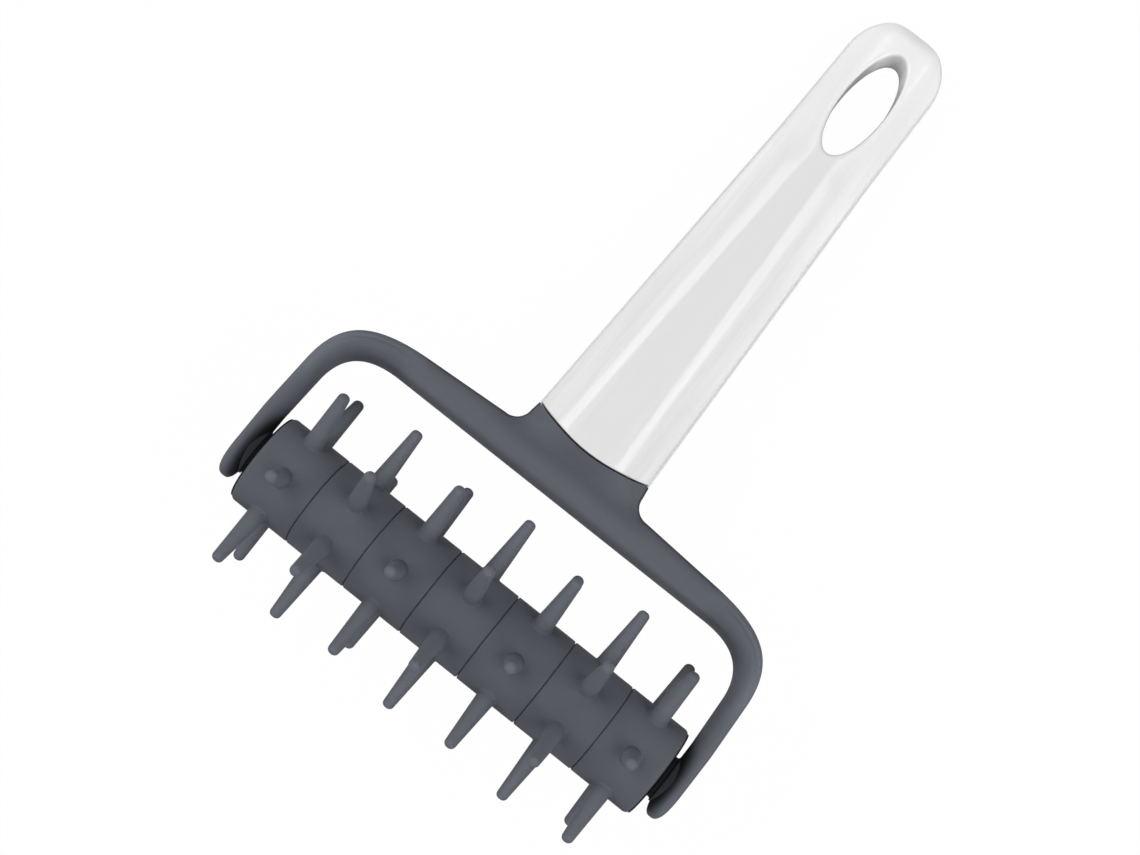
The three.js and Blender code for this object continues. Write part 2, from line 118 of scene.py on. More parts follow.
class HandleSizes(bpy.types.PropertyGroup):
    """The white handle, measured along Y from the axle."""

    joint_y: length("Joint", "Place of the corners of the handle's base", 54.4)
    joint_rise: length("Joint rise", "How far the arc of the joint bulges towards the axle", 3.7)
    end_y: length("End", "Place of the handle's far end", 190.8)
    base_half_width: length("Base half width", "Half the width at the base", 17.45)
    waist_half_width: length("Waist half width", "Half the width where the hole starts", 14)
    end_half_width: length("End half width", "Half the width before the end rounds off", 13.55)
    base_half_z: length("Base half depth", "Half the depth at the base", 9.6)
    end_half_z: length("End half depth", "Half the depth at the end", 6)
    base_edge_z: length("Base edge", "Half the depth of the side edge at the base", 4.2)
    end_edge_z: length("End edge", "Half the depth of the side edge at the end", 2.6)
    end_round: length("End round", "Length of the end's rounding, seen from the front", 15)
    thin_round: length("Thin round", "Length over which the end thins out", 8)
    facet_base: length("Facet at base", "Half the width of the front facet at the base", 8.8)
    facet_waist: length("Facet at waist", "Half the width of the front facet below the hole", 4.6)
    facet_end: length("Facet at end", "Half the width of the front facet beside the hole", 8.3)
    facet_flare: length("Facet flare", "Length over which the facet widens round the hole", 22)
    ridge_round: length("Ridge blend", "Softness of the ridges beside the front facet", 0.25)
    ridge_end: length("End blend", "Softness of the ridges where they die out in the rounded end", 6.1)
    ridge_cut: length("Ridge bevel", "How much the bevel takes off the ridges", 0.5)
    ridge_angle: angle("Bevel angle", "How much the ridges' bevel slopes", 18)
    hollow: length("Hollow sides", "Depth of the slight hollow in the sloping sides", 0.28)
    edge_round: length("Edge round", "Rounding of the side edges", 1.0)
    base_bevel: length("Base bevel", "Rounding of the rim at the joint", 0.35)
    wall: length("Wall", "Thickness of the hollow handle", 2.8)
    cavity_end_y: length("Cavity end", "How far along the hollow runs", 140)
    hole_centre_y: length("Hole centre", "Place of the hanging hole", 165.8)
    hole_half_length: length("Hole half length", "Half the length of the hanging hole", 16.2)
    hole_half_width: length("Hole half width", "Half the width of the hanging hole", 6.1)
    hole_round: length("Hole round", "Rounding of the rim of the hanging hole", 1.3)
    hole_margin: length("Hole margin", "Plain stretch kept below the hole's rounding", 3.6)
    end_power: exponent("End power", "Squareness of the end, seen from the front", 2.45)
    edge_power: exponent("Edge power", "Squareness of the side edges", 2.4)
    rest_share: share("Rest share", "How far into the thinning end the handle touches the table", 0.3)


class YokeSizes(bpy.types.PropertyGroup):
    """The grey yoke: bar, bends, arms, neck, plug and tang."""

    inner_y: length("Bar's inner edge", "Place of the edge that faces the roller", 36.75)
    depth_middle: length("Depth at middle", "Depth of the bar at its middle, seen from the front", 11.45)
    depth_end: length("Depth at bends", "Depth of the bar where the bends start", 8.45)
    straight_outer: length("Straight outer", "Where the outer edge starts to bend", 46)
    straight_inner: length("Straight inner", "Where the inner edge starts to bend", 49)
    bar_half_z: length("Bar half height", "Half the bar's height", 6.3)
    arm_half_z: length("Arm half height", "Half the height of an arm", 6.1)
    arm_outer_x: length("Arm outside", "Outer face of an arm", 70.6)
    arm_thickness: length("Arm thickness", "Thickness of an arm, seen from the front", 5.6)
    arm_spread: length("Arm spread", "How far the arms widen from the bend to the axle", 0.7)
    bend_end_outer_y: length("Bend end outside", "Where the outer edge of the bend ends", 26)
    bend_end_inner_y: length("Bend end inside", "Where the inner edge of the bend ends", 24)
    arm_widest_y: length("Widest", "Where the arms stand widest apart", 11)
    arm_drop: length("Arm drop", "How far the arms run past the axle", 9.6)
    boss_half_width: length("Boss half width", "Half the width of a boss, seen from the front", 6)
    boss_half_z: length("Boss half height", "Half the height of a boss", 4.2)
    boss_round: length("Boss round", "Rounding of a boss and of its foot", 0.6)
    joint_gap: length("Joint gap", "Gap between neck and handle", 0.5)
    neck_step: length("Neck step", "How far the neck lies below the handle's front", 0.35)
    neck_spread: length("Neck spread", "How far the neck widens to its fillets", 0.5)
    neck_fillet: length("Neck fillet", "Radius of the fillets between neck and bar", 4.4)
    neck_slope: angle("Neck slope", "How steeply the neck rises to the handle", 30)
    neck_ridge: length("Neck ridge", "Softness of the neck's ridges", 1.6)
    plug_length: length("Plug length", "Length of the plug that fills the handle's mouth", 12)
    tang_length: length("Tang length", "Length of the ribbed tang", 48)
    tang_rib: length("Tang rib", "Thickness of the tang's ribs", 2.6)
    rim_line: length("Rim line", "Depth of the fine line that follows the bends", 0.4)
    rim_line_width: length("Rim line width", "Half the width of that line", 0.4)
    rim_line_share: share("Rim line place", "Where it lies between the bend's middle and edge", 0.45)
    reach_outer_share: share("Outer reach", "Fullness of the outer bend", 0.68)
    reach_inner_share: share("Inner reach", "Fullness of the inner bend", 0.65)
    bar_crest: share("Bar crest", "Where the bar is highest: -1 at the inner edge, 1 at the outer", -0.3, -1)
    arm_crest: share("Arm crest", "Where an arm is highest: -1 at the inner edge, 1 at the outer", 0.5, -1)
    crest_share: share("Crest share", "How far round the bend the crest has crossed over", 0.6)
    bar_power: exponent("Bar power", "Squareness of the bar's section", 3.0)
    arm_power: exponent("Arm power", "Squareness of the arms' inner side", 1.8)
    tip_power: exponent("Tip power", "Squareness of the arms' tips", 2.8)
    union_power: exponent("Union power", "How tightly neck and bar run together", 9)


class RollerSizes(bpy.types.PropertyGroup):
    """The roller: pinned rings, core, bearing caps and rod."""

    ring_count: bpy.props.IntProperty(name="Rings", description="Number of pinned rings", default=7)
    pin_count: bpy.props.IntProperty(name="Pins", description="Pins round each ring", default=6)
    ring_width: length("Ring width", "Width of one ring", 17.75)
    fit: length("Fit", "Clearance between pieces that fit together", 0.3)
    ring_radius: length("Ring radius", "Radius of the drum that the rings make", 12.7)
    joint_line: length("Joint line", "Visible gap between two rings", 0.12)
    joint_round: length("Joint round", "Rounding of the rings where they meet", 0.45)
    lip_drop: length("Lip drop", "How far inside the drum's surface the rings' lips lie", 0.6)
    lip_gap: length("Lip gap", "Gap between the lips of two rings", 0.06)
    end_round: length("End round", "Rounding of the drum's two ends", 1.5)
    rim_wall: length("Rim wall", "Thickness of a ring's rim", 2.4)
    web: length("Web", "Thickness of the web between rim and hub", 2.4)
    hub_wall: length("Hub wall", "Thickness of the hub round the hexagonal core", 2.2)
    core_flats: length("Core", "Width across the flats of the hexagonal core", 11.4)
    core_bore: length("Core bore", "Radius of the bore through the core", 4.2)
    cap_thickness: length("Cap flange", "Thickness of a bearing cap's flange", 1.2)
    cap_round: length("Cap round", "Rounding of a bearing cap's edges", 0.25)
    spigot_length: length("Spigot", "Length of a bearing cap's spigot", 9)
    rod_radius: length("Rod radius", "Radius of the steel rod", 2)
    rod_chamfer: length("Rod chamfer", "Chamfer of the rod's ends", 0.4)
    side_play: length("Side play", "Gap between the drum and each boss", 0.45)
    socket_depth: length("Socket depth", "Depth of the sockets that hold the rod", 4.9)
    pin_reach: length("Pin reach", "Distance from the axle to a pin's tip", 29.4)
    pin_root: length("Pin root", "Radius of a pin above its foot", 2.5)
    pin_tip: length("Pin tip", "Radius of a pin below its tip", 1.58)
    pin_fillet: length("Pin fillet", "Radius of the fillet round a pin's foot", 0.5)
    pin_power: exponent("Pin power", "Squareness of a pin's tip", 2.5)
    turn: angle("Turn", "How far the roller has rolled from a pin standing square", 5.8)


class FinishSettings(bpy.types.PropertyGroup):
    """Colours and surfaces of the plastics and the steel."""

    slate: colour("Slate plastic", "Grey of the yoke and the rings", 89, 92, 99)
    white: colour("White plastic", "White of the handle", 233, 233, 233)
    bearing: colour("Bearing plastic", "Grey of the core and the bearing caps", 70, 73, 80)
    steel: colour("Steel", "Grey of the rod", 186, 188, 192)
    drum_shade: factor("Drum", "Paleness of the drum against the slate colour", 1.065)
    drum_patches: factor("Drum's patches", "How much the drum's soft patches differ from it", 0.075)
    # Painted light: the drum's ends, the pins, the bar and neck and the arms are painted paler than the
    # drum, and the outside of the bends gets a painted highlight
    drum_end_painted_light: factor("Drum's ends", "Paleness that the drum goes towards at its ends", 1.25)
    pin_painted_light: factor("Pins", "Paleness of the pins against the slate colour", 1.42)
    yoke_painted_light: factor("Bar and neck", "Paleness of bar and neck against the slate colour", 1.2)
    arm_painted_light: factor("Arms", "Paleness of the arms against the slate colour", 1.34)
    bend_painted_highlight: factor("Bends", "Paleness that the bends' outside goes towards", 1.75)
    worn_shade: factor("Worn edges", "Paleness that worn edges and scuffs go towards", 1.45)
    shadow_shade: factor("Shadows", "Darkness that gaps and hollows go towards", 0.1)
    streak_dark: factor("Dark streaks", "Paleness of the handle's dark streaks", 0.96)
    streak_pale: factor("Pale streaks", "Paleness of the handle's pale streaks", 1.03)
    # Painted light: the handle is painted paler towards its end. Painted shade: the hole's wall is painted
    # darker at its sides
    handle_end_painted_light: factor("Handle's end", "Paleness that the handle goes towards at its end", 1.1)
    hole_wall_painted_shade: factor("Hole's wall", "Paleness of the hole's wall at its sides", 0.5)
    bearing_patches: factor("Bearing's patches", "How much the bearing plastic's patches differ", 0.1)
    line_shade: factor("Dark lines", "Paleness of the dark lines on the rod", 0.85)
    slate_rough: share("Slate roughness", "How matt the slate plastic is", 0.6)
    slate_uneven: share("Slate unevenness", "How much that roughness varies", 0.22)
    slate_shine: share("Slate shine", "Strength of the slate plastic's reflections", 0.06)
    white_rough: share("White roughness", "How matt the white plastic is below its gloss", 0.38)
    white_uneven: share("White unevenness", "How much that roughness varies", 0.1)
    gloss: share("Gloss", "Strength of the clear gloss on the white plastic", 0.6)
    gloss_rough: share("Gloss roughness", "How matt that gloss is", 0.2)
    hole_rough: share("Hole's roughness", "How much rougher the hole's wall is", 0.4)
    bearing_rough: share("Bearing roughness", "How matt the bearing plastic is", 0.38)
    bearing_uneven: share("Bearing unevenness", "How much that roughness varies", 0.2)
    steel_rough: share("Steel roughness", "How matt the steel is", 0.26)
    steel_uneven: share("Steel unevenness", "How much that roughness varies", 0.2)
    scuff_rough: share("Scuffs' roughness", "How much rougher scuffs and scratches are", 0.08)
    grain: length("Grain", "Size of the moulded grain", 0.45)
    mottle: length("Mottle", "Size of the soft patches in the plastic", 14)
    scuff: length("Scuffs", "Size of the fine scuffs", 2.4)
    grain_height: length("Grain height", "How high the moulded grain stands", 0.03)
    ripple_height: length("Ripple height", "How high the handle's slight ripple stands", 0.03)
    streak_height: length("Streak height", "How high the handle's flow streaks stand", 0.012)
    line_height: length("Line height", "How high the fine lines on the rod stand", 0.01)


class StageSettings(bpy.types.PropertyGroup):
    """Camera, lamps and floor."""

    focal: bpy.props.FloatProperty(name="Focal length", description="Lens of the camera", default=64.15)
    distance: length("Distance", "From the camera to the plane of the axle", 505.08)
    across: length("Across", "How far right of the picture's middle the axle lies", -27.52)
    up: length("Up", "How far above the picture's middle the axle lies", -46.47)
    turn: angle("Turn", "How far the tool is turned in the picture", 38.35)
    lean: angle("Lean", "How far the camera leans to the side", 2.65)
    floor_size: length("Floor", "Width of the floor", 6000)
    floor: colour("Floor colour", "Grey of the floor as it lights the tool", 120, 120, 122)
    whiteness: share("Whiteness", "How far the floor is lifted to its glow in the picture", 0.95)
    glow: factor("Glow", "Brightness that the floor is lifted to, where 1 is white", 1.04)
    ambient: share("Ambient", "Strength of the light all round", 0.05)
    lamp_distance: length("Lamp distance", "From the tool to each lamp", 1100)
    bank_length: length("Bank length", "Length of the lamps beside the tool", 1600)
    high_angle: angle("High bank", "Angle of the high banks from overhead", 36)
    high_width: length("High bank width", "Width of the high banks", 220)
    high_watts: watts("High bank power", "Power of each high bank", 5.0)
    low_angle: angle("Low bank", "Angle of the low banks from overhead", 62)
    low_width: length("Low bank width", "Width of the low banks", 1000)
    low_watts: watts("Low bank power", "Power of each low bank", 5.1)
    end_angle: angle("End lamp", "Angle of the lamp beyond the handle from overhead", 56)
    end_distance: length("End lamp distance", "From the tool's middle to that lamp", 450)
    end_length: length("End lamp length", "Length of that lamp", 400)
    end_width: length("End lamp width", "Width of that lamp", 150)
    end_watts: watts("End lamp power", "Power of that lamp", 0.15)
    front_angle: angle("Front lamp", "Angle of the lamp before the roller from overhead", 55)
    front_length: length("Front lamp length", "Length of that lamp", 900)
    front_width: length("Front lamp width", "Width of that lamp", 200)
    front_watts: watts("Front lamp power", "Power of that lamp", 1.6)


GROUPS = {
    "docker_handle": HandleSizes,
    "docker_yoke": YokeSizes,
    "docker_roller": RollerSizes,
    "docker_finish": FinishSettings,
    "docker_stage": StageSettings,
}


def run(place, start, end):
    """How far a place has come from start to end, from 0 to 1."""
    return np.clip((place - start) / (end - start), 0, 1)


def blend(place, start, end, first, last):
    """A value that goes evenly from first to last as a place goes from start to end."""
    return first + (last - first) * run(place, start, end)


def ease(place, start, end):
    """Like run(), but leaving 0 and reaching 1 softly: 3 t squared less 2 t cubed."""
    t = run(place, start, end)
    return t * t * (3 - 2 * t)


def between(first, last, t):
    """Points on the straight lines from first to last."""
    return first + (last - first) * t


def rows_between(first, last, count):
    """Evenly spaced rows of points from the first row to the last."""
    return between(first, last, np.linspace(0, 1, count)[:, None, None])


def fall_off(t, power):
    """A quarter of a superellipse: 1 at t = 0, falling to 0 at t = 1."""
    return (1 - np.clip(np.abs(t), 0, 1) ** power) ** (1 / power)


def edge_rise(depth, reach, power):
    """Rise of a rounded edge from 0 at depth 0 to 1 at its reach, upright where it starts."""
    return fall_off(1 - np.clip(depth / reach, 0, 1), power)


def soft_least(a, b, width):
    """The lesser of two heights, rounded by a parabola where they are within width of each other."""
    near = np.clip(1 - np.abs(a - b) / width, 0, 1)
    return np.minimum(a, b) - near**2 * width / 4


def soft_most(a, b, power):
    """The greater of two heights, as the power sum of both, so that it stays 0 where both are 0."""
    most = np.maximum(np.maximum(a, b), WELD)
    least = np.minimum(a, b) / most
    return most * (1 + least**power) ** (1 / power) * (np.maximum(a, b) > 0)


def signed_power(value, power):
    """A sine or cosine drawn out to a superellipse of that power."""
    return np.sign(value) * np.abs(value) ** (2 / power)


def points(*parts):
    """One array of points from arrays that fit together: X and Y in a plan, and Z too in space."""
    return np.stack(np.broadcast_arrays(*parts), -1)


def split(shape):
    """An array of points as one array for each axis."""
    return np.moveaxis(shape, -1, 0)


def raised(plan, z):
    """The points of a plan, each lifted to its height."""
    return points(*split(plan), z)


def quarter(count, radius):
    """A quarter turn in steps: (how far along, how far short of the full radius)."""
    turn = np.linspace(0, math.pi / 2, count)
    return radius * (1 - np.cos(turn)), radius * (1 - np.sin(turn))


def turned(profile, turns):
    """Carries a profile of (radius, place along X) pairs round the axle through the given turns."""
    radius, along = np.array(profile).T
    return points(along, np.outer(np.cos(turns), radius), np.outer(np.sin(turns), radius))


def rounded_corner(corner, before, after, radius, steps=5):
    """Profile points of a rounded right-angled corner that comes in along before and leaves along after."""
    corner, before, after = (np.array(v, float) for v in (corner, before, after))
    along, short = quarter(steps, radius)
    rest = radius - short
    start = corner - before * radius
    return [tuple(start + before * r + after * a) for a, r in zip(along, rest)]


def resting_tilt(handle, roller):
    """The angle at which the tool lies: its pins' reach over the distance to the handle's resting point."""
    y = handle.end_y - handle.thin_round * (1 - handle.rest_share)
    z = handle.end_half_z * fall_off(handle.rest_share, handle.end_power)
    return math.asin(roller.pin_reach / math.hypot(y, z)) - math.atan(z / y)


def lay_down(shape, tilt):
    """Turns points of the tool's own frame about the axle and lifts them to their place in the row frame."""
    x, y, z = split(shape)
    turned_y = y * math.cos(tilt) + z * math.sin(tilt)
    turned_z = z * math.cos(tilt) - y * math.sin(tilt)
    return points(x, turned_y, turned_z) + AXLE


def mirrored(patches, *axes):
    """The patches and their mirror images in each axis in turn."""
    for axis in axes:
        flip = np.ones(3)
        flip[axis] = -1
        patches = patches + [patch * flip for patch in patches]
    return patches


def quads(patches):
    """The corners of all the patches, and the four corners of each face between their points."""
    corners, faces, first = [], [], 0
    for patch in patches:
        rows, columns = patch.shape[:2]
        low = first + np.arange(rows - 1)[:, None] * columns + np.arange(columns - 1)
        faces.append(np.stack([low, low + 1, low + columns + 1, low + columns], -1).reshape(-1, 4))
        corners.append(patch.reshape(-1, 3))
        first += rows * columns
    return np.concatenate(corners), np.concatenate(faces)


def weld(mesh):
    """Merges the points that coincide and turns the faces outwards, and stops if the mesh isn't closed."""
    shell = bmesh.new()
    shell.from_mesh(mesh)
    bmesh.ops.remove_doubles(shell, verts=shell.verts, dist=WELD)
    bmesh.ops.recalc_face_normals(shell, faces=shell.faces)
    loose = sum(not edge.is_manifold for edge in shell.edges)
    shell.to_mesh(mesh)
    shell.free()
    if loose:
        raise RuntimeError(f"{mesh.name} isn't closed: {loose} of its edges don't join two faces")


def skin(context, name, patches):
    """Welds grids of points into one closed mesh in the row frame and adds it to the scene."""
    corners, faces = quads(patches)
    tilt = resting_tilt(context.scene.docker_handle, context.scene.docker_roller)
    mesh = bpy.data.meshes.new(name)
    mesh.vertices.add(len(corners))
    mesh.vertices.foreach_set("co", lay_down(corners, tilt).astype(np.float32).ravel())
    mesh.loops.add(faces.size)
    mesh.loops.foreach_set("vertex_index", faces.astype(np.int32).ravel())
    mesh.polygons.add(len(faces))
    mesh.polygons.foreach_set("loop_start", np.arange(0, faces.size, 4, dtype=np.int32))
    mesh.update(calc_edges=True)
    weld(mesh)
    mesh.polygons.foreach_set("use_smooth", np.ones(len(mesh.polygons), bool))
    mesh.set_sharp_from_angle(angle=CREASE)
    thing = bpy.data.objects.new(name, mesh)
    context.scene.collection.objects.link(thing)
    return thing


def finished(thing, body, node, material):
    """Gives a piece its finish and its body, and hides the solid that it stands for."""
    thing.data.materials.append(material)
    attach(thing, body)
    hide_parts(node)


# Points in each stretch of the handle's grids: along the grip, across it, and off the hole
GRIP_ROWS, BEVEL_ROWS, WALL_ROWS, HOLLOW_ROWS, HOLLOW_END_ROWS = 120, 6, 5, 25, 9
FACE_COLUMNS, EDGE_COLUMNS, SIDE_COLUMNS, END_COLUMNS = 49, 12, 45, 49
HOLE_RIM_ROWS, HOLE_WALL_ROWS, HOLE_FACE_ROWS = 12, 9, 21
# How often places that depend on each other are worked out again
GRIP_ROUNDS, NECK_ROUNDS = 4, 12


class Grip:
    """Plan and height of the handle as functions of place, in the tool's own frame."""

    def __init__(self, sizes):
        self.sizes = sizes
        rise, half = sizes.joint_rise, sizes.base_half_width
        self.arc_radius = (half**2 + rise**2) / (2 * rise)
        self.hole_start = sizes.hole_centre_y - sizes.hole_half_length
        self.taper_end = sizes.end_y - sizes.end_round
        self.thin_end = sizes.end_y - sizes.thin_round
        self.chord_y = self.hole_start - sizes.hole_round - sizes.hole_margin

    def joint(self, x):
        """Where the handle starts: an arc of a circle through the base's corners."""
        s = self.sizes
        return s.joint_y - s.joint_rise + self.arc_radius - np.sqrt(self.arc_radius**2 - x**2)

    def half_width(self, y):
        """Straight taper to the waist, and a gentler one to where the end rounds off."""
        s = self.sizes
        lower = blend(y, s.joint_y, self.hole_start, s.base_half_width, s.waist_half_width)
        upper = blend(y, self.hole_start, self.taper_end, s.waist_half_width, s.end_half_width)
        return np.where(y < self.hole_start, lower, upper)

    def half_z(self, y):
        """Half depth at the front facet, a straight taper."""
        return blend(y, self.sizes.joint_y, self.thin_end, self.sizes.base_half_z, self.sizes.end_half_z)

    def facet(self, y):
        """Half width of the front facet: it narrows to the waist and widens softly round the hole."""
        s = self.sizes
        start = self.hole_start - s.facet_flare / 4
        lower = blend(y, s.joint_y, start, s.facet_base, s.facet_waist)
        return lower + (s.facet_end - s.facet_waist) * ease(y, start, start + s.facet_flare)

    def depth(self, x, y):
        """How far a place lies inside the outline: across the sides, and towards the end's middle there."""
        s = self.sizes
        side = self.half_width(y) - np.abs(x)
        beyond = np.maximum(y - self.taper_end, 0)
        ratio = (np.abs(x) / s.end_half_width) ** s.end_power + (beyond / s.end_round) ** s.end_power
        ratio = np.maximum(ratio, WELD) ** (1 / s.end_power)
        return np.where(beyond > 0, np.hypot(x, beyond) * (1 / ratio - 1), side)

    def height(self, x, y, depth):
        """The least of three heights, times the edge's rise: the front facet, which thins out in the end,
        the ridge's bevel, which falls from it, and the side, which slopes up from the edge less a sine."""
        s = self.sizes
        top, facet, half = self.half_z(y), self.facet(y), self.half_width(y)
        edge = blend(y, s.joint_y, self.thin_end, s.base_edge_z, s.end_edge_z)
        thin = fall_off(run(y, self.thin_end, s.end_y), s.end_power)
        bevel = (top - s.ridge_cut) * thin + math.tan(s.ridge_angle) * (facet - np.abs(x))
        climb = (half - np.abs(x)) * (top - edge) / (half - facet)
        side = edge + climb - s.hollow * np.sin(math.pi * run(climb, 0, top - edge))
        fade = ease(y, self.hole_start - s.facet_flare / 2, s.hole_centre_y)
        softness = between(s.ridge_round, s.ridge_end, fade)
        front = soft_least(soft_least(top * thin, bevel, s.ridge_round), side, softness)
        return front * edge_rise(depth, s.edge_round, s.edge_power)

    def inset(self, across, y, wall):
        """A point on the section drawn in by a wall; across is its share of the half width."""
        width = self.half_width(y)
        z = self.height(across * width, y, (1 - across) * width) * (1 - wall / self.half_z(y))
        return points(across * (width - wall), y, z)


def edge_depths(width, count, power):
    """Depths from width down to 0, closer together towards the edge."""
    return width * np.linspace(1, 0, count) ** power


def grip_front(sizes, grip, depths):
    """The front of the grip, and its columns' places at the base. Its rows go round the rim's bevel and then
    up to the chord below the hole. A column is a share of the inner width, or lies so far off the edge."""
    column = np.concatenate([np.linspace(0, 1, FACE_COLUMNS), np.ones(EDGE_COLUMNS - 1)])
    beyond = np.concatenate([np.zeros(FACE_COLUMNS), sizes.edge_round - depths[1:]])
    lift, drawn_in = quarter(BEVEL_ROWS, sizes.base_bevel)
    along = np.concatenate([np.zeros(BEVEL_ROWS), np.linspace(0, 1, GRIP_ROWS + 1)[1:]])[:, None]
    lift = np.concatenate([lift, np.full(GRIP_ROWS, sizes.base_bevel)])[:, None]
    drawn_in = np.concatenate([drawn_in, np.zeros(GRIP_ROWS)])[:, None]
    x = column * (sizes.base_half_width - sizes.edge_round) + beyond
    # The width depends on the place along and the joint's arc on the width, so both are settled in turn
    for _ in range(GRIP_ROUNDS):
        start = grip.joint(x * (1 - drawn_in / sizes.base_half_width)) + lift
        y = between(start, grip.chord_y, along)
        x = column * (grip.half_width(y) - sizes.edge_round) + beyond
    z = grip.height(x, y, grip.half_width(y) - x)
    shrink_x, shrink_z = (1 - drawn_in / s for s in (sizes.base_half_width, sizes.base_half_z))
    return points(x * shrink_x, y, z * shrink_z), x[0]


def grip_inside(sizes, grip, base_x):
    """The wall at the base, the hollow and its end, in the columns of the grip's front."""
    across = base_x / sizes.base_half_width
    base_depth = (1 - across) * sizes.base_half_width
    base_z = grip.height(across * sizes.base_half_width, np.full_like(across, sizes.joint_y), base_depth)
    walls = np.linspace(sizes.base_bevel, sizes.wall, WALL_ROWS)[:, None]
    wall_x = across * (sizes.base_half_width - walls)
    base = points(wall_x, grip.joint(wall_x), base_z * (1 - walls / sizes.base_half_z))
    mouth_y = grip.joint(wall_x[-1])
    hollow_y = between(mouth_y, sizes.cavity_end_y, np.linspace(0, 1, HOLLOW_ROWS)[:, None])
    hollow = grip.inset(across, hollow_y, sizes.wall)
    hollow_end = hollow[-1] * points(1, 1, np.linspace(1, 0, HOLLOW_END_ROWS)[:, None])
    return [base, hollow, hollow_end]


def end_outline(sizes, grip, depths):
    """Plan points beside and beyond the hole, depth by depth: the sides, then a superellipse quarter."""
    side_y = np.linspace(grip.chord_y, grip.taper_end, SIDE_COLUMNS)
    side = points(grip.half_width(side_y) - depths, side_y)
    turn = np.linspace(0, math.pi / 2, END_COLUMNS)[1:]
    x = sizes.end_half_width * signed_power(np.cos(turn), sizes.end_power)
    y = sizes.end_round * signed_power(np.sin(turn), sizes.end_power)
    left = 1 - depths / np.hypot(x, y)
    return np.concatenate([side, points(x * left, grip.taper_end + y * left)], 1)


def hole_patches(sizes, grip, chord, depths):
    """Grids round the hole: the edge strip, the face from outline to hole, its rounded rim and its wall."""
    outline = end_outline(sizes, grip, depths[:, None])
    strip = raised(outline, grip.height(*split(outline), depths[:, None]))
    border = np.concatenate([chord[:FACE_COLUMNS, :2], outline[0, 1:]])

    half_length = (sizes.end_y - grip.chord_y) / 2
    along, across = (border[:, 1] - sizes.hole_centre_y) / half_length, border[:, 0] / sizes.end_half_width
    turn = np.arctan2(along, across)
    half_axes = np.array([sizes.hole_half_width, sizes.hole_half_length])
    rim = half_axes * points(np.cos(turn), np.sin(turn))
    outward = rim / half_axes**2
    outward /= np.linalg.norm(outward, axis=1, keepdims=True)
    rim = rim + np.array([0, sizes.hole_centre_y])

    def on_top(plan, drop):
        x, y = split(plan)
        return points(x, y, grip.height(x, y, grip.depth(x, y)) - drop)

    away, drop = quarter(HOLE_RIM_ROWS, sizes.hole_round)
    flare = on_top(rim + outward * away[:, None, None], drop[:, None])
    wall = raised(rim, flare[0, :, 2] * np.linspace(0, 1, HOLE_WALL_ROWS)[:, None])
    face = on_top(rows_between(flare[-1, :, :2], border, HOLE_FACE_ROWS), 0)
    return [strip, face, flare, wall]


def handle_patches(sizes):
    """A quarter of the handle as grids: the grip's front and inside, the end and the round of the hole."""
    grip = Grip(sizes)
    depths = edge_depths(sizes.edge_round, EDGE_COLUMNS, sizes.edge_power)
    front, base_x = grip_front(sizes, grip, depths)
    return [front, *grip_inside(sizes, grip, base_x), *hole_patches(sizes, grip, front[-1], depths)]


class DOCKER_OT_handle(bpy.types.Operator):
    """Builds the white handle round its solid"""

    bl_idname = "docker.handle"
    bl_label = "Handle"

    def execute(self, context):
        patches = handle_patches(context.scene.docker_handle)
        thing = skin(context, "handle_shell", mirrored(patches, 0, 2))
        finished(thing, "frame", "handle", white_plastic(context))
        return {"FINISHED"}


# Points in each stretch of the yoke's grids: along bar, bend and arm, across a section, round the neck,
# along plug and tang, and round a boss
BAR_STATIONS, BEND_STATIONS, ARM_STATIONS, BOSS_STATIONS, TIP_STATIONS = 25, 57, 15, 12, 33
SECTION_POINTS, ARC_POINTS, SIDE_POINTS, FILLET_POINTS, BAR_POINTS = 45, 41, 13, 25, 9
SEAT_ROWS, PLUG_ROWS, SHOULDER_ROWS, TANG_ROWS, TANG_END_ROWS = 7, 9, 4, 13, 5
BOSS_TURNS, BOSS_CURVE = 49, 6


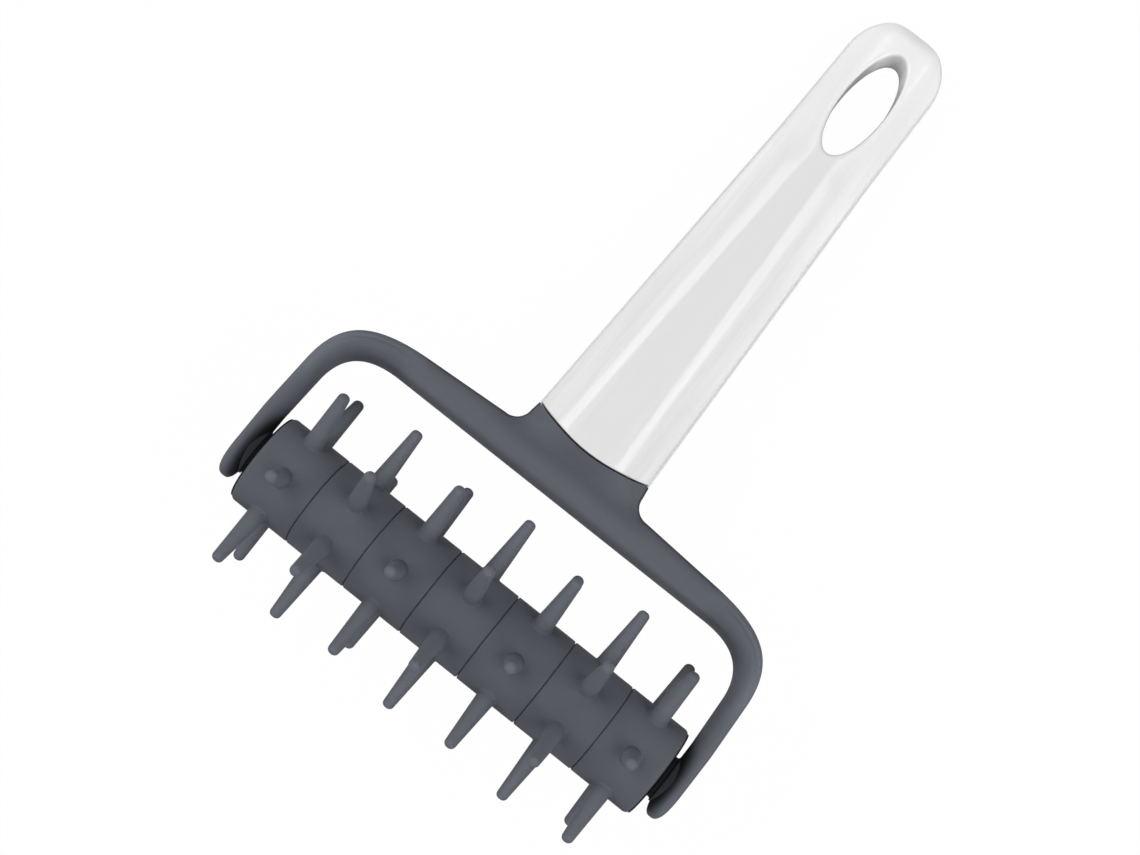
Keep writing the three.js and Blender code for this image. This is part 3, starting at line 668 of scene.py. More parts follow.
class Bow:
    """Plan and height of the bar and neck as functions of place, and the sections of bend and arm."""

    def __init__(self, sizes, grip):
        self.sizes, self.grip = sizes, grip
        side = grip.sizes.base_half_width + sizes.neck_spread
        self.fillet_x = side + sizes.neck_fillet
        self.fillet_y = self.outer_edge(self.fillet_x) + sizes.neck_fillet
        # How far along the bar the neck's fillets leave it plain, as a share of its straight length
        self.plain_share = (self.fillet_x + sizes.neck_fillet) / sizes.straight_outer

    def outer_edge(self, x):
        """The bar's outer edge falls evenly from its middle to the bends."""
        s = self.sizes
        return s.inner_y + s.depth_middle - (s.depth_middle - s.depth_end) * x / s.straight_outer

    def half_depth(self, x):
        """Half the bar's depth at a place along it."""
        return (self.outer_edge(x) - self.sizes.inner_y) / 2

    def neck_side(self, y):
        """The neck's straight side, from its fillet to the corner of the handle."""
        side = self.fillet_x - self.sizes.neck_fillet
        return blend(y, self.fillet_y, self.grip.sizes.joint_y, side, self.grip.sizes.base_half_width)

    def depth(self, x, y):
        """How far a place lies inside the outer outline: the bar's edge, the fillet's circle, the side."""
        fillet = np.hypot(self.fillet_x - x, self.fillet_y - y) - self.sizes.neck_fillet
        side = self.neck_side(y) - x
        bar = self.outer_edge(x) - y
        return np.maximum(np.where(x > self.fillet_x, bar, np.where(y > self.fillet_y, side, fillet)), 0)

    def height(self, x, y):
        """The greater, softly, of the bar's crown and the neck that rises from it to the handle."""
        s, h = self.sizes, self.grip.sizes
        depth, half = self.depth(x, y), self.half_depth(x)
        inner = edge_rise(np.maximum(y - s.inner_y, 0), half * (1 + s.bar_crest), s.bar_power)
        outer = edge_rise(depth, half * (1 - s.bar_crest), s.bar_power)
        joint = self.grip.joint(np.minimum(x, self.fillet_x)) - s.joint_gap
        fade = 1 - ease(y, self.outer_edge(x) - s.depth_middle / 8, joint) * (x < self.fillet_x)
        crown = s.bar_half_z * np.minimum(inner, outer) * fade
        rise = h.base_half_z - s.neck_step - math.tan(s.neck_slope) * (joint - y)
        slope = (h.base_half_z - h.base_edge_z) / (h.base_half_width - h.facet_base)
        side = h.base_edge_z + slope * depth
        neck = soft_least(rise, side, s.neck_ridge) * edge_rise(depth, h.edge_round, h.edge_power)
        return soft_most(crown, np.maximum(neck, 0), s.union_power)


def bezier(start, start_pull, end_pull, end, t):
    """A cubic Bezier curve from start to end, drawn towards the two points between."""
    t, left = t[:, None], 1 - t[:, None]
    return left**3 * start + 3 * left**2 * t * start_pull + 3 * left * t**2 * end_pull + t**3 * end


def bend_edge(start, start_slope, end, end_slope, reach, t):
    """One edge of the bend: it leaves the bar along one slope and runs into the arm along another."""
    across = reach * (end[0] - start[0])
    down = reach * (start[1] - end[1])
    start_pull = np.array([start[0] + across, start[1] + start_slope * across])
    end_pull = np.array([end[0] - end_slope * down, end[1] + down])
    return bezier(start, start_pull, end_pull, end, t)


def tip_stations(s):
    """Places down the arm from its widest to its tip, and how much of its section is left there."""
    round_tip = np.sin(np.linspace(0, math.pi / 2, TIP_STATIONS)[1:])
    down = np.concatenate([np.linspace(s.arm_widest_y, 0, BOSS_STATIONS)[1:], -s.arm_drop * round_tip])
    return down, fall_off(np.maximum(-down, 0) / s.arm_drop, s.tip_power)


def bow_edge(s, bar, corners, slope, reach, side):
    """One edge from beside the neck to the arm's tip: along the bar, round the bend, down the arm and round
    its tip. Its corners are the bar's two ends and the arm's, and its side is -1 inside and 1 outside."""
    bar_start, bar_end, arm_start, arm_end = np.array(corners)
    arm_slope = s.arm_spread / (s.bend_end_outer_y - s.arm_widest_y)
    bend = np.linspace(0, 1, BEND_STATIONS)[1:]
    down, left = tip_stations(s)
    middle = s.arm_outer_x - s.arm_thickness / 2
    return np.concatenate([
        between(bar_start, bar_end, bar[:, None]),
        bend_edge(bar_end, slope, arm_start, arm_slope, reach, bend),
        between(arm_start, arm_end, np.linspace(0, 1, ARM_STATIONS)[1:, None]),
        points(middle + side * left * s.arm_thickness / 2, down),
    ])


def bow_stations(s, bow):
    """Each section from beside the neck to the arm's tip: its inner and outer edge, its half height, how far
    it has left the neck's own height, and how far round the bend it lies, both from 0 to 1."""
    inner_x, outer_x = s.arm_outer_x - s.arm_thickness, s.arm_outer_x
    inner_corners = [(0, s.inner_y), (s.straight_inner, s.inner_y)]
    inner_corners += [(inner_x - s.arm_spread, s.bend_end_inner_y), (inner_x, s.arm_widest_y)]
    outer_corners = [(0, s.inner_y + s.depth_middle), (s.straight_outer, s.inner_y + s.depth_end)]
    outer_corners += [(outer_x - s.arm_spread, s.bend_end_outer_y), (outer_x, s.arm_widest_y)]
    slope = (s.depth_end - s.depth_middle) / s.straight_outer
    bar, bend = np.linspace(bow.plain_share, 1, BAR_STATIONS), np.linspace(0, 1, BEND_STATIONS)[1:]
    left = np.concatenate([np.ones(ARM_STATIONS - 1), tip_stations(s)[1]])
    bend_z = between(s.bar_half_z, s.arm_half_z, bend)
    return (
        bow_edge(s, bar, inner_corners, 0, s.reach_inner_share, -1),
        bow_edge(s, bar, outer_corners, slope, s.reach_outer_share, 1),
        np.concatenate([np.full(len(bar), s.bar_half_z), bend_z, s.arm_half_z * left]),
        np.concatenate([run(bar, bar[0], 1), np.ones(len(bend) + len(left))]),
        np.concatenate([np.zeros(len(bar)), bend, np.ones(len(left))]),
    )


def arm_patch(sizes, bow, across):
    """Bar, bend and arm: a superellipse section carried from edge to edge, station by station. Its crest
    crosses over in the bend, and a fine line is sunk there, as deep as a half sine round the bend."""
    inner, outer, half_z, plain, round_bend = bow_stations(sizes, bow)
    crossed = ease(round_bend, 0, sizes.crest_share)[:, None]
    plan = between(inner[:, None], outer[:, None], ((1 + across) / 2)[:, None])
    crest = between(sizes.bar_crest, sizes.arm_crest, crossed)
    away = np.where(across < crest, (crest - across) / (1 + crest), (across - crest) / (1 - crest))
    inside_power = between(sizes.bar_power, sizes.arm_power, crossed)
    section = half_z[:, None] * fall_off(away, np.where(across < crest, inside_power, sizes.bar_power))
    mapped = bow.height(*split(plan))
    z = between(mapped, section, plain[:, None])
    half_depth = np.linalg.norm(outer - inner, axis=1)[:, None] / 2
    from_line = (across - sizes.rim_line_share) * half_depth / sizes.rim_line_width
    z = z - sizes.rim_line * np.sin(math.pi * round_bend)[:, None] * np.exp(-(from_line**2))
    z[:, [0, -1]] = 0
    return raised(plan, np.maximum(z, 0))


def neck_strip(sizes, bow, depths, border):
    """Plan of the strip inside the outer outline, from the joint's corner down the fillet to the bar."""
    grip = bow.grip
    depths = depths[:, None]
    x = grip.sizes.base_half_width - depths
    # The side's place and the joint's arc depend on each other, so both are settled in turn
    for _ in range(NECK_ROUNDS):
        x = bow.neck_side(grip.joint(x) - sizes.joint_gap) - depths
    t = np.linspace(0, 1, SIDE_POINTS)
    side_y = between(grip.joint(x) - sizes.joint_gap, bow.fillet_y, t)
    side_x = between(x, bow.fillet_x - sizes.neck_fillet - depths, t)
    turn = np.linspace(0, math.pi / 2, FILLET_POINTS)[1:]
    radius = sizes.neck_fillet + depths
    fillet = points(bow.fillet_x - radius * np.cos(turn), bow.fillet_y - radius * np.sin(turn))
    bar = between(fillet[:, -1:], border[:, None], np.linspace(0, 1, BAR_POINTS)[1:, None])
    return np.concatenate([points(side_x, side_y), fillet, bar], 1)


def middle_patches(sizes, bow, across, edge_from):
    """The bar's middle and the neck: a face from the inner edge to the joint, and the strip beside it."""
    inner_x, outer_x = sizes.straight_inner * bow.plain_share, sizes.straight_outer * bow.plain_share
    corner_in, corner_out = np.array([inner_x, sizes.inner_y]), np.array([outer_x, bow.outer_edge(outer_x)])
    border = between(corner_in, corner_out, ((1 + across) / 2)[:, None])
    depths = (1 - across[edge_from:]) * bow.half_depth(bow.fillet_x)
    strip = neck_strip(sizes, bow, depths, border[edge_from:])

    arc_x = np.linspace(0, strip[0, 0, 0], ARC_POINTS)[:-1]
    arc = points(arc_x, bow.grip.joint(arc_x) - sizes.joint_gap)
    upper = np.concatenate([arc, strip[0]])
    steps = np.linalg.norm(np.diff(upper, axis=0), axis=1)
    travelled = np.concatenate([[0], np.cumsum(steps)]) / steps.sum()
    lower = points(travelled * corner_in[0], sizes.inner_y)
    up = (1 + across[: edge_from + 1]) / (1 + across[edge_from])
    face = between(lower, upper, up[:, None, None])

    face, strip = (raised(plan, bow.height(*split(plan))) for plan in (face, strip))
    face[0, :, 2] = 0
    strip[-1, :, 2] = 0
    joint = np.concatenate([face[-1, : len(arc)], strip[:, 0]])
    return [face, strip], joint


def tang_patches(sizes, grip, fit, joint):
    """The neck's end, the plug that fits the handle's mouth, and the cross-shaped tang behind it."""
    h = grip.sizes
    wall = h.wall + fit
    across = np.clip(joint[:, 0] / h.base_half_width, 0, 1)
    seat = grip.inset(across, np.full_like(across, h.joint_y), wall)
    end = rows_between(joint, seat, SEAT_ROWS)
    end[1:, :, 1] = grip.joint(end[1:, :, 0]) - sizes.joint_gap
    plug_end, tang_end = h.joint_y + sizes.plug_length, h.joint_y + sizes.tang_length
    plug_y = between(end[-1, :, 1], plug_end, np.linspace(0, 1, PLUG_ROWS)[:, None])
    plug = grip.inset(across, plug_y, wall)
    turn = np.arctan2(plug[-1, :, 2], plug[-1, :, 0])
    y = np.linspace(plug_end, tang_end, TANG_ROWS)[:, None]
    wide, deep = grip.half_width(y) - wall, grip.half_z(y) - wall
    rib, cos, sin = sizes.tang_rib / 2, np.maximum(np.cos(turn), WELD), np.maximum(np.sin(turn), WELD)
    reach = np.maximum(np.minimum(wide / cos, rib / sin), np.minimum(rib / cos, deep / sin))
    cross = points(reach * np.cos(turn), y, reach * np.sin(turn))
    shoulder = rows_between(plug[-1], cross[0], SHOULDER_ROWS)
    tip = rows_between(cross[-1], points(0, tang_end, 0), TANG_END_ROWS)
    return [end, plug, shoulder, cross, tip]


def boss_patch(sizes, roller):
    """A boss: its outline with the rod's blind socket, carried half round the axle."""
    face = drum_half(roller) + roller.side_play
    bottom = face + roller.socket_depth
    root = sizes.arm_outer_x - sizes.arm_thickness
    back = sizes.arm_outer_x - sizes.arm_thickness / 2
    hole, outside, curve = roller.rod_radius + roller.fit, sizes.boss_half_width, sizes.boss_round
    away, short = quarter(BOSS_CURVE, curve)
    foot = [(outside + a, root - s) for a, s in zip(away, short)]
    socket = [(0, bottom), (hole, bottom), (hole, face)]
    outline = rounded_corner((outside, face), (1, 0), (0, 1), curve)
    outline += foot + [(outside + curve, back), (0, back)]
    turns = np.linspace(0, math.pi, BOSS_TURNS)
    low = turned(outline, turns) * np.array([1, 1, sizes.boss_half_z / outside])
    return np.concatenate([turned(socket, turns), low], 1)


class DOCKER_OT_yoke(bpy.types.Operator):
    """Builds the grey yoke with its bosses, neck and tang"""

    bl_idname = "docker.yoke"
    bl_label = "Yoke"

    def execute(self, context):
        sizes, roller = context.scene.docker_yoke, context.scene.docker_roller
        bow = Bow(sizes, Grip(context.scene.docker_handle))
        across = signed_power(np.cos(np.linspace(math.pi, 0, SECTION_POINTS)), sizes.bar_power)
        across[SECTION_POINTS // 2] = 0
        patches, joint = middle_patches(sizes, bow, across, 2 * SECTION_POINTS // 3)
        patches.append(arm_patch(sizes, bow, across))
        patches += tang_patches(sizes, bow.grip, roller.fit, joint)
        patches.append(boss_patch(sizes, roller))
        thing = skin(context, "yoke_moulding", mirrored(patches, 0, 2))
        finished(thing, "frame", "yoke", slate_plastic(context))
        return {"FINISHED"}


# Points in each stretch of the roller's grids: a pin's cell along and round the drum, rows down a pin and
# out to its cell's border, and turns of cap and rod
CELL_ALONG, CELL_AROUND = 22, 16
TIP_ROWS, SHANK_ROWS, FOOT_ROWS, CELL_ROWS = 10, 13, 8, 15
RING_CURVE, CAP_TURNS, ROD_TURNS = 8, 97, 65


def drum_half(roller):
    """Half the length of the drum that the rings make."""
    return (roller.ring_count * (roller.ring_width + roller.fit) - roller.fit) / 2


def cell_border(roller, left, right):
    """The border of a pin's cell, a rectangle on the unrolled drum: places along it and turns round it."""
    half_turn = math.pi / roller.pin_count
    along = np.linspace(left, right, CELL_ALONG + 1)
    around = np.linspace(-half_turn, half_turn, CELL_AROUND + 1)
    first, last = np.full(CELL_AROUND, right), np.full(CELL_AROUND + 1, left)
    low, high = np.full(CELL_ALONG, -half_turn), np.full(CELL_ALONG, half_turn)
    x = np.concatenate([along[:-1], first, along[:0:-1], last])
    return x, np.concatenate([low, around[:-1], high, around[::-1]])


def pin_rows(roller, cos, sin):
    """A pin as rings of points from its tip down: its superellipse tip, its tapered shank, and the fillet
    that ends on the drum's round."""

    def drum_top(r):
        return np.sqrt(roller.ring_radius**2 - (r * sin) ** 2)

    turn = np.linspace(0, math.pi / 2, TIP_ROWS)[:, None]
    tip_r = roller.pin_tip * signed_power(np.sin(turn), roller.pin_power)
    tip_up = roller.pin_reach - roller.pin_tip * (1 - signed_power(np.cos(turn), roller.pin_power))
    t = np.linspace(0, 1, SHANK_ROWS)[1:, None]
    shank_r = between(roller.pin_tip, roller.pin_root, t)
    shank_up = between(roller.pin_reach - roller.pin_tip, drum_top(roller.pin_root) + roller.pin_fillet, t)
    away, above = (v[1:, None] for v in quarter(FOOT_ROWS, roller.pin_fillet))
    foot_r = roller.pin_root + away
    r = np.concatenate([tip_r, shank_r, foot_r])
    up = np.concatenate([tip_up + 0 * cos, shank_up, drum_top(foot_r) + above])
    return points(r * cos, r * sin, up)


def pin_cell(roller, left, right, pin_turn):
    """One pin, and the piece of drum from its foot out to its cell's border."""
    radius = roller.ring_radius
    border_x, border_turn = cell_border(roller, left, right)
    facing = np.arctan2(border_turn * radius, border_x)
    pin = pin_rows(roller, np.cos(facing), np.sin(facing))
    foot_x, foot_sideways, _ = split(pin[-1])
    t = np.linspace(0, 1, CELL_ROWS)[1:, None]
    x, arc = between(foot_x, border_x, t), between(np.arcsin(foot_sideways / radius), border_turn, t)
    drum = points(x, radius * np.sin(arc), radius * np.cos(arc))
    x, sideways, up = split(np.concatenate([pin, drum]))
    cos, sin = math.cos(pin_turn), math.sin(pin_turn)
    return points(x, up * cos - sideways * sin, up * sin + sideways * cos)


def ring_side(roller, half, lip, edge, turns):
    """One side of a ring: its rounded edge, lip, rim, web, hub and half the hexagonal key, carried round."""
    radius = roller.ring_radius
    inner = radius - roller.rim_wall
    key = roller.core_flats / 2 + roller.fit
    hub = key / math.cos(math.pi / 6) + roller.hub_wall
    hub_half = roller.ring_width / 2 - roller.cap_thickness - roller.fit
    profile = rounded_corner((radius, half), (0, 1), (-1, 0), edge, RING_CURVE)
    profile += [(radius - roller.lip_drop, half), (radius - roller.lip_drop, lip), (inner, lip)]
    profile += [(inner, roller.web / 2), (hub, roller.web / 2), (hub, hub_half)]
    outside = turned(profile, turns)
    off_flat = (turns - math.pi / 6) % (math.pi / 3)
    off_flat = np.minimum(off_flat, math.pi / 3 - off_flat)
    reach = (key / np.cos(off_flat))[:, None]
    cos, sin = np.cos(turns)[:, None], np.sin(turns)[:, None]
    bore = points(np.array([hub_half, hub_half / 2, 0]), reach * cos, reach * sin)
    return np.concatenate([outside, bore], 1)


def ring_patches(roller, number):
    """All of one ring: a cell for each pin, and its two sides."""
    step = 2 * math.pi / roller.pin_count
    first = math.pi / 2 + roller.turn + (step / 2 if number % 2 else 0)
    pitch, half = roller.ring_width + roller.fit, roller.ring_width / 2
    # Half width, half width at the lip and rounding of a side that is free, and of one beside another ring
    free = half, half, roller.end_round
    joined = (pitch - roller.joint_line) / 2, (pitch - roller.lip_gap) / 2, roller.joint_round
    left, right = (free if number == end else joined for end in (0, roller.ring_count - 1))
    edges = left[2] - left[0], right[0] - right[2]
    cells = [pin_cell(roller, *edges, first + k * step) for k in range(roller.pin_count)]
    turns = first - step / 2 + np.linspace(0, 2 * math.pi, CELL_AROUND * roller.pin_count + 1)
    sides = [ring_side(roller, *right, turns), ring_side(roller, *left, turns) * np.array([-1, 1, 1])]
    place = np.array([(number - (roller.ring_count - 1) / 2) * pitch, 0, 0])
    return [patch + place for patch in cells + sides]


class DOCKER_OT_rings(bpy.types.Operator):
    """Builds the pinned rings of the roller"""

    bl_idname = "docker.rings"
    bl_label = "Pinned rings"

    def execute(self, context):
        roller = context.scene.docker_roller
        material = slate_plastic(context)
        for number in range(roller.ring_count):
            thing = skin(context, f"pinned_ring_{number + 1}", ring_patches(roller, number))
            finished(thing, "roller", f"pin_ring_{number + 1}", material)
        return {"FINISHED"}


def cap_profile(roller):
    """Outline of a bearing cap: spigot, flange and bore."""
    outer = drum_half(roller)
    inner = outer - roller.cap_thickness
    end = inner - roller.spigot_length
    bore, spigot = roller.rod_radius + roller.fit, roller.core_bore - roller.fit
    flange, curve = roller.ring_radius - roller.rim_wall - roller.fit, roller.cap_round
    profile = [(bore, end)]
    profile += rounded_corner((spigot, end), (1, 0), (0, 1), curve)
    profile += [(spigot, inner), (flange, inner)]
    profile += rounded_corner((flange, outer), (0, 1), (-1, 0), curve)
    profile += rounded_corner((bore, outer), (-1, 0), (0, -1), curve)
    return profile + [(bore, end)]


class DOCKER_OT_core(bpy.types.Operator):
    """Builds the bearing caps and finishes the hexagonal core"""

    bl_idname = "docker.core"
    bl_label = "Core and caps"

    def execute(self, context):
        material = bearing_plastic(context)
        cap = turned(cap_profile(context.scene.docker_roller), np.linspace(0, 2 * math.pi, CAP_TURNS))
        for side, sign in (("left", -1), ("right", 1)):
            thing = skin(context, f"cap_{side}", [cap * np.array([sign, 1, 1])])
            finished(thing, "roller", f"bearing_cap_{side}", material)
        core = frame["nodes"]["core_tube"]
        core.data.materials.clear()
        core.data.materials.append(material)
        return {"FINISHED"}


class DOCKER_OT_rod(bpy.types.Operator):
    """Builds the steel rod"""

    bl_idname = "docker.rod"
    bl_label = "Rod"

    def execute(self, context):
        roller = context.scene.docker_roller
        end = drum_half(roller) + roller.side_play + roller.socket_depth - roller.fit
        radius, chamfer = roller.rod_radius, roller.rod_chamfer
        side = [(0, end), (radius - chamfer, end), (radius, end - chamfer)]
        profile = [(r, -x) for r, x in side] + side[::-1]
        thing = skin(context, "rod", [turned(profile, np.linspace(0, 2 * math.pi, ROD_TURNS))])
        finished(thing, "frame", "axle_rod", rod_steel(context))
        return {"FINISHED"}


def linear(screen):
    """A screen colour's parts as the amounts of light that they stand for, by the sRGB curve."""
    return [c / 12.92 if c <= 0.04045 else ((c + 0.055) / 1.055) ** 2.4 for c in screen]


class Amount:
    """A number that changes over a surface. Sums written with it add Math nodes to its material."""

    def __init__(self, recipe, socket):
        self.recipe, self.socket = recipe, socket

    def maths(self, operation, *values):
        """Adds a Math node that works on the values."""
        return self.recipe.node("ShaderNodeMath", {"operation": operation}, dict(enumerate(values)))

    def __add__(self, other):
        return self.maths("ADD", self, other)

    def __sub__(self, other):
        return self.maths("SUBTRACT", self, other)

    def __rsub__(self, other):
        return self.maths("SUBTRACT", other, self)

    def __mul__(self, other):
        return self.maths("MULTIPLY", self, other)

    def __pow__(self, other):
        return self.maths("POWER", self, other)

    def __abs__(self):
        return self.maths("ABSOLUTE", self)

    __radd__, __rmul__ = __add__, __mul__

    def most(self, other):
        """The greater of two numbers."""
        return self.maths("MAXIMUM", self, other)

    def over(self, low, high):
        """How far the number has come from low to high, kept from 0 to 1."""
        sockets = {"Value": self, "From Min": low, "From Max": high}
        return self.recipe.node("ShaderNodeMapRange", {"clamp": True}, sockets)


class Recipe:
    """The nodes of a material or a world, and the one way to add nodes to them."""

    def __init__(self, owner, shader="Principled BSDF"):
        owner.use_nodes = True
        self.owner, self.tree = owner, owner.node_tree
        self.shader = self.tree.nodes[shader]

    def fill(self, node, sockets):
        """Sets each named or numbered socket to a value, or links it."""
        for key, value in sockets.items():
            if isinstance(value, Amount):
                self.tree.links.new(value.socket, node.inputs[key])
            else:
                node.inputs[key].default_value = value

    def node(self, kind, settings, sockets, output=0):
        """Adds a node of a kind: its settings are set first, then its sockets."""
        node = self.tree.nodes.new(kind)
        for key, value in settings.items():
            setattr(node, key, value)
        self.fill(node, sockets)
        return Amount(self, node.outputs[output])

    def tool_place(self, scene):
        """Places in the tool's own frame, in which it isn't tilted."""
        place = self.node("ShaderNodeTexCoord", {}, {}, "Object")
        tilt = resting_tilt(scene.docker_handle, scene.docker_roller)
        sockets = {"Vector": place, "Location": tuple(AXLE), "Rotation": (-tilt, 0, 0)}
        return self.node("ShaderNodeMapping", {"vector_type": "TEXTURE"}, sockets)

    def maths_on(self, vector, operation, other):
        """A vector added to, multiplied by or otherwise joined with another."""
        return self.node("ShaderNodeVectorMath", {"operation": operation}, {0: vector, 1: other})

    def length(self, vector):
        """A vector's length."""
        return self.node("ShaderNodeVectorMath", {"operation": "LENGTH"}, {0: vector}, "Value")

    def part_of(self, vector, number):
        """A vector's part along X, Y or Z."""
        return self.node("ShaderNodeSeparateXYZ", {}, {0: vector}, number)

    def noise(self, place, size, detail, stretch=(1, 1, 1)):
        """Soft noise from about 0.3 to 0.7 whose lumps have a size in metres, drawn out by the stretch."""
        scale = tuple(1 / (size * s) for s in stretch)
        sized = self.maths_on(place, "MULTIPLY", scale)
        return self.node("ShaderNodeTexNoise", {}, {"Vector": sized, "Scale": 1, "Detail": detail}, "Fac")

    def mix(self, amount, first, second):
        """Goes from the first colour to the second as the amount goes from 0 to 1."""
        sockets = {0: amount, 6: first, 7: second}
        return self.node("ShaderNodeMix", {"data_type": "RGBA"}, sockets, 2)

    def bump(self, height, distance, strength=0.5, normal=None):
        """Lifts the surface by height times distance, on top of an earlier bump if there is one."""
        sockets = {"Height": height, "Distance": distance, "Strength": strength}
        if normal:
            sockets["Normal"] = normal
        return self.node("ShaderNodeBump", {}, sockets, "Normal")


def shade(screen, paleness):
    """A screen colour as light, made darker or lighter by its paleness."""
    return (*(part * paleness for part in linear(screen)), 1)


def uneven(noise, middle, swing):
    """A roughness that a noise moves a little to both sides of its middle."""
    return middle + (noise - 0.5) * swing


class ToolPlace:
    """Where a point lies on the tool. Each distance adds its nodes when a finish first reads it."""

    def __init__(self, recipe, place):
        self.recipe, self.place = recipe, place

    @functools.cached_property
    def across(self):
        """Distance from the plane through the tool's middle."""
        return abs(self.recipe.part_of(self.place, 0))

    @functools.cached_property
    def along(self):
        """Place along the handle from the axle."""
        return self.recipe.part_of(self.place, 1)

    @functools.cached_property
    def off_axle(self):
        """Distance from the axle."""
        return self.recipe.length(self.recipe.maths_on(self.place, "MULTIPLY", (0, 1, 1)))


# Stretches over which a finish changes: across the tool, along it, off the axle or off a bend's centre
GAP_STARTS, GAP_ENDS, GAP_EDGE = span(62.4, 62.8), span(66.3, 68.5), span(12.5, 14)
ARM_FACE, SOCKET_EDGE = span(64.5, 65.5), span(3, 12)
ARM_STARTS, YOKE_STARTS, PINS_START = span(64, 67), span(30, 34), span(13, 15)
DRUM_ENDS, PINS_PALE = span(40, 60), span(13, 17)
NECK_SIDES, NECK_STARTS = span(3, 11), span(44, 48)
FOOT_SIDES, FOOT_STARTS, FOOT_ENDS = span(18, 28), span(41, 44), span(45, 49)
BAR_EDGE, BEND_STARTS, BEND_ENDS = span(40, 43), span(44, 50), span(20, 26)
BEND_CENTRE, BEND_INSIDE, BEND_OUTSIDE = span(52, 28), span(9.5, 13), span(13.5, 16.5)
FACET_EDGE, HOLE_STARTS, END_STARTS, WALL_SIDES = span(5, 9), span(150, 165), span(145, 180), span(4, 5.5)
# How far each dark place goes towards the painted shadow, each place with painted light or a painted
# highlight towards its paler shade, and each worn place towards its own shade
GAP_DARK, EDGE_DARK, BEND_DARK, NECK_DARK, FOOT_DARK = 0.96, 0.6, 0.3, 0.16, 0.22
DRUM_END_PAINTED_LIGHT, BEND_PAINTED_HIGHLIGHT, EDGE_WORN, SCUFF_WORN = 0.5, 0.7, 0.12, 0.07
# The stretch in which a noise mostly lies, and those of it that show as scuffs, scratches or streaks
NOISE, SCUFFS, SCRATCHES, STREAKS = (0.3, 0.7), (0.56, 0.72), (0.6, 0.75), (0.35, 0.65)
# Stretch of Pointiness that is a worn edge, and stretches of Facing in which the bar and the rest darken
WORN_EDGES, BAR_TURNS, REST_TURNS = (0.515, 0.6), (0.4, 0.7), (0.6, 1)
# How far lumps of noise are drawn out across, along and up to make the handle's streaks and scratches and
# the rod's lines
STREAK_SHAPE, SCRATCH_SHAPE, LINE_SHAPE = (0.6, 16, 1), (1, 14, 1), (40, 1, 1)
# How far a pin that turns away goes towards the shadow, and how much farther everything else does
PIN_TURNED, REST_TURNED = 0.15, 0.4
# How much of its streaks the handle's front facet shows
FACET_STREAKS = 0.15
# Where the hole's wall gives way to its rim, in reaches from its centre
WALL_ENDS = 1.005, 1.05


def in_gap(at):
    """How far the gaps between the drum's ends and the arms go towards the shadow: 0 elsewhere."""
    beside = at.across.over(*GAP_STARTS) * (1 - at.across.over(*GAP_ENDS))
    return beside * (1 - at.off_axle.over(*GAP_EDGE)) * GAP_DARK


def slate_tone(recipe, finish, at, mottle):
    """Colour of the grey pieces: the drum's soft patches, with painted light laid over them: the drum's
    ends, the pins, the bar and neck and the arms painted paler, and a painted highlight on the bends'
    outside. Also says how far the bends' inside goes towards the painted shadow."""
    low, high = finish.drum_shade - finish.drum_patches, finish.drum_shade + finish.drum_patches
    tone = recipe.mix(mottle.over(*NOISE), shade(finish.slate, low), shade(finish.slate, high))
    # The bends' outside gets a painted highlight, and their inside a painted shade
    bends = at.across.over(*BEND_STARTS) * at.along.over(*BEND_ENDS)
    off_bend = ((at.across - BEND_CENTRE[0]) ** 2 + (at.along - BEND_CENTRE[1]) ** 2) ** 0.5
    # Each mask below paints light on its part, as a paler copy of the slate
    for amount, paleness in (
        (at.across.over(*DRUM_ENDS) * DRUM_END_PAINTED_LIGHT, finish.drum_end_painted_light),
        (at.off_axle.over(*PINS_PALE), finish.pin_painted_light),
        (at.along.over(*YOKE_STARTS), finish.yoke_painted_light),
        (at.across.over(*ARM_STARTS), finish.arm_painted_light),
        (bends * off_bend.over(*BEND_OUTSIDE) * BEND_PAINTED_HIGHLIGHT, finish.bend_painted_highlight),
    ):
        tone = recipe.mix(amount, tone, shade(finish.slate, paleness))
    return tone, bends * (1 - off_bend.over(*BEND_INSIDE)) * BEND_DARK


def slate_shadow(recipe, at, off_pins, bend):
    """How far the grey pieces go towards the shadow: in the gaps beside the drum, in the neck and at its
    foot, along the bar's outer edge, inside the bends and where they turn away from the camera."""
    facing = recipe.node("ShaderNodeLayerWeight", {}, {"Blend": 0.5}, "Facing")
    turned_away = facing.over(*REST_TURNS) * (PIN_TURNED + off_pins * REST_TURNED)
    off_bends = 1 - at.across.over(*BEND_STARTS)
    bar = facing.over(*BAR_TURNS) * at.along.over(*BAR_EDGE) * off_bends * EDGE_DARK
    gap = in_gap(at) * (1 - at.off_axle.over(*SOCKET_EDGE) * at.across.over(*ARM_FACE))
    neck = (1 - at.across.over(*NECK_SIDES)) * at.along.over(*NECK_STARTS) * NECK_DARK
    foot = at.along.over(*FOOT_STARTS) * (1 - at.along.over(*FOOT_ENDS)) * FOOT_DARK
    foot = foot * (1 - at.across.over(*FOOT_SIDES))
    return (turned_away + bar + bend + gap + neck + foot).over(0, 1)


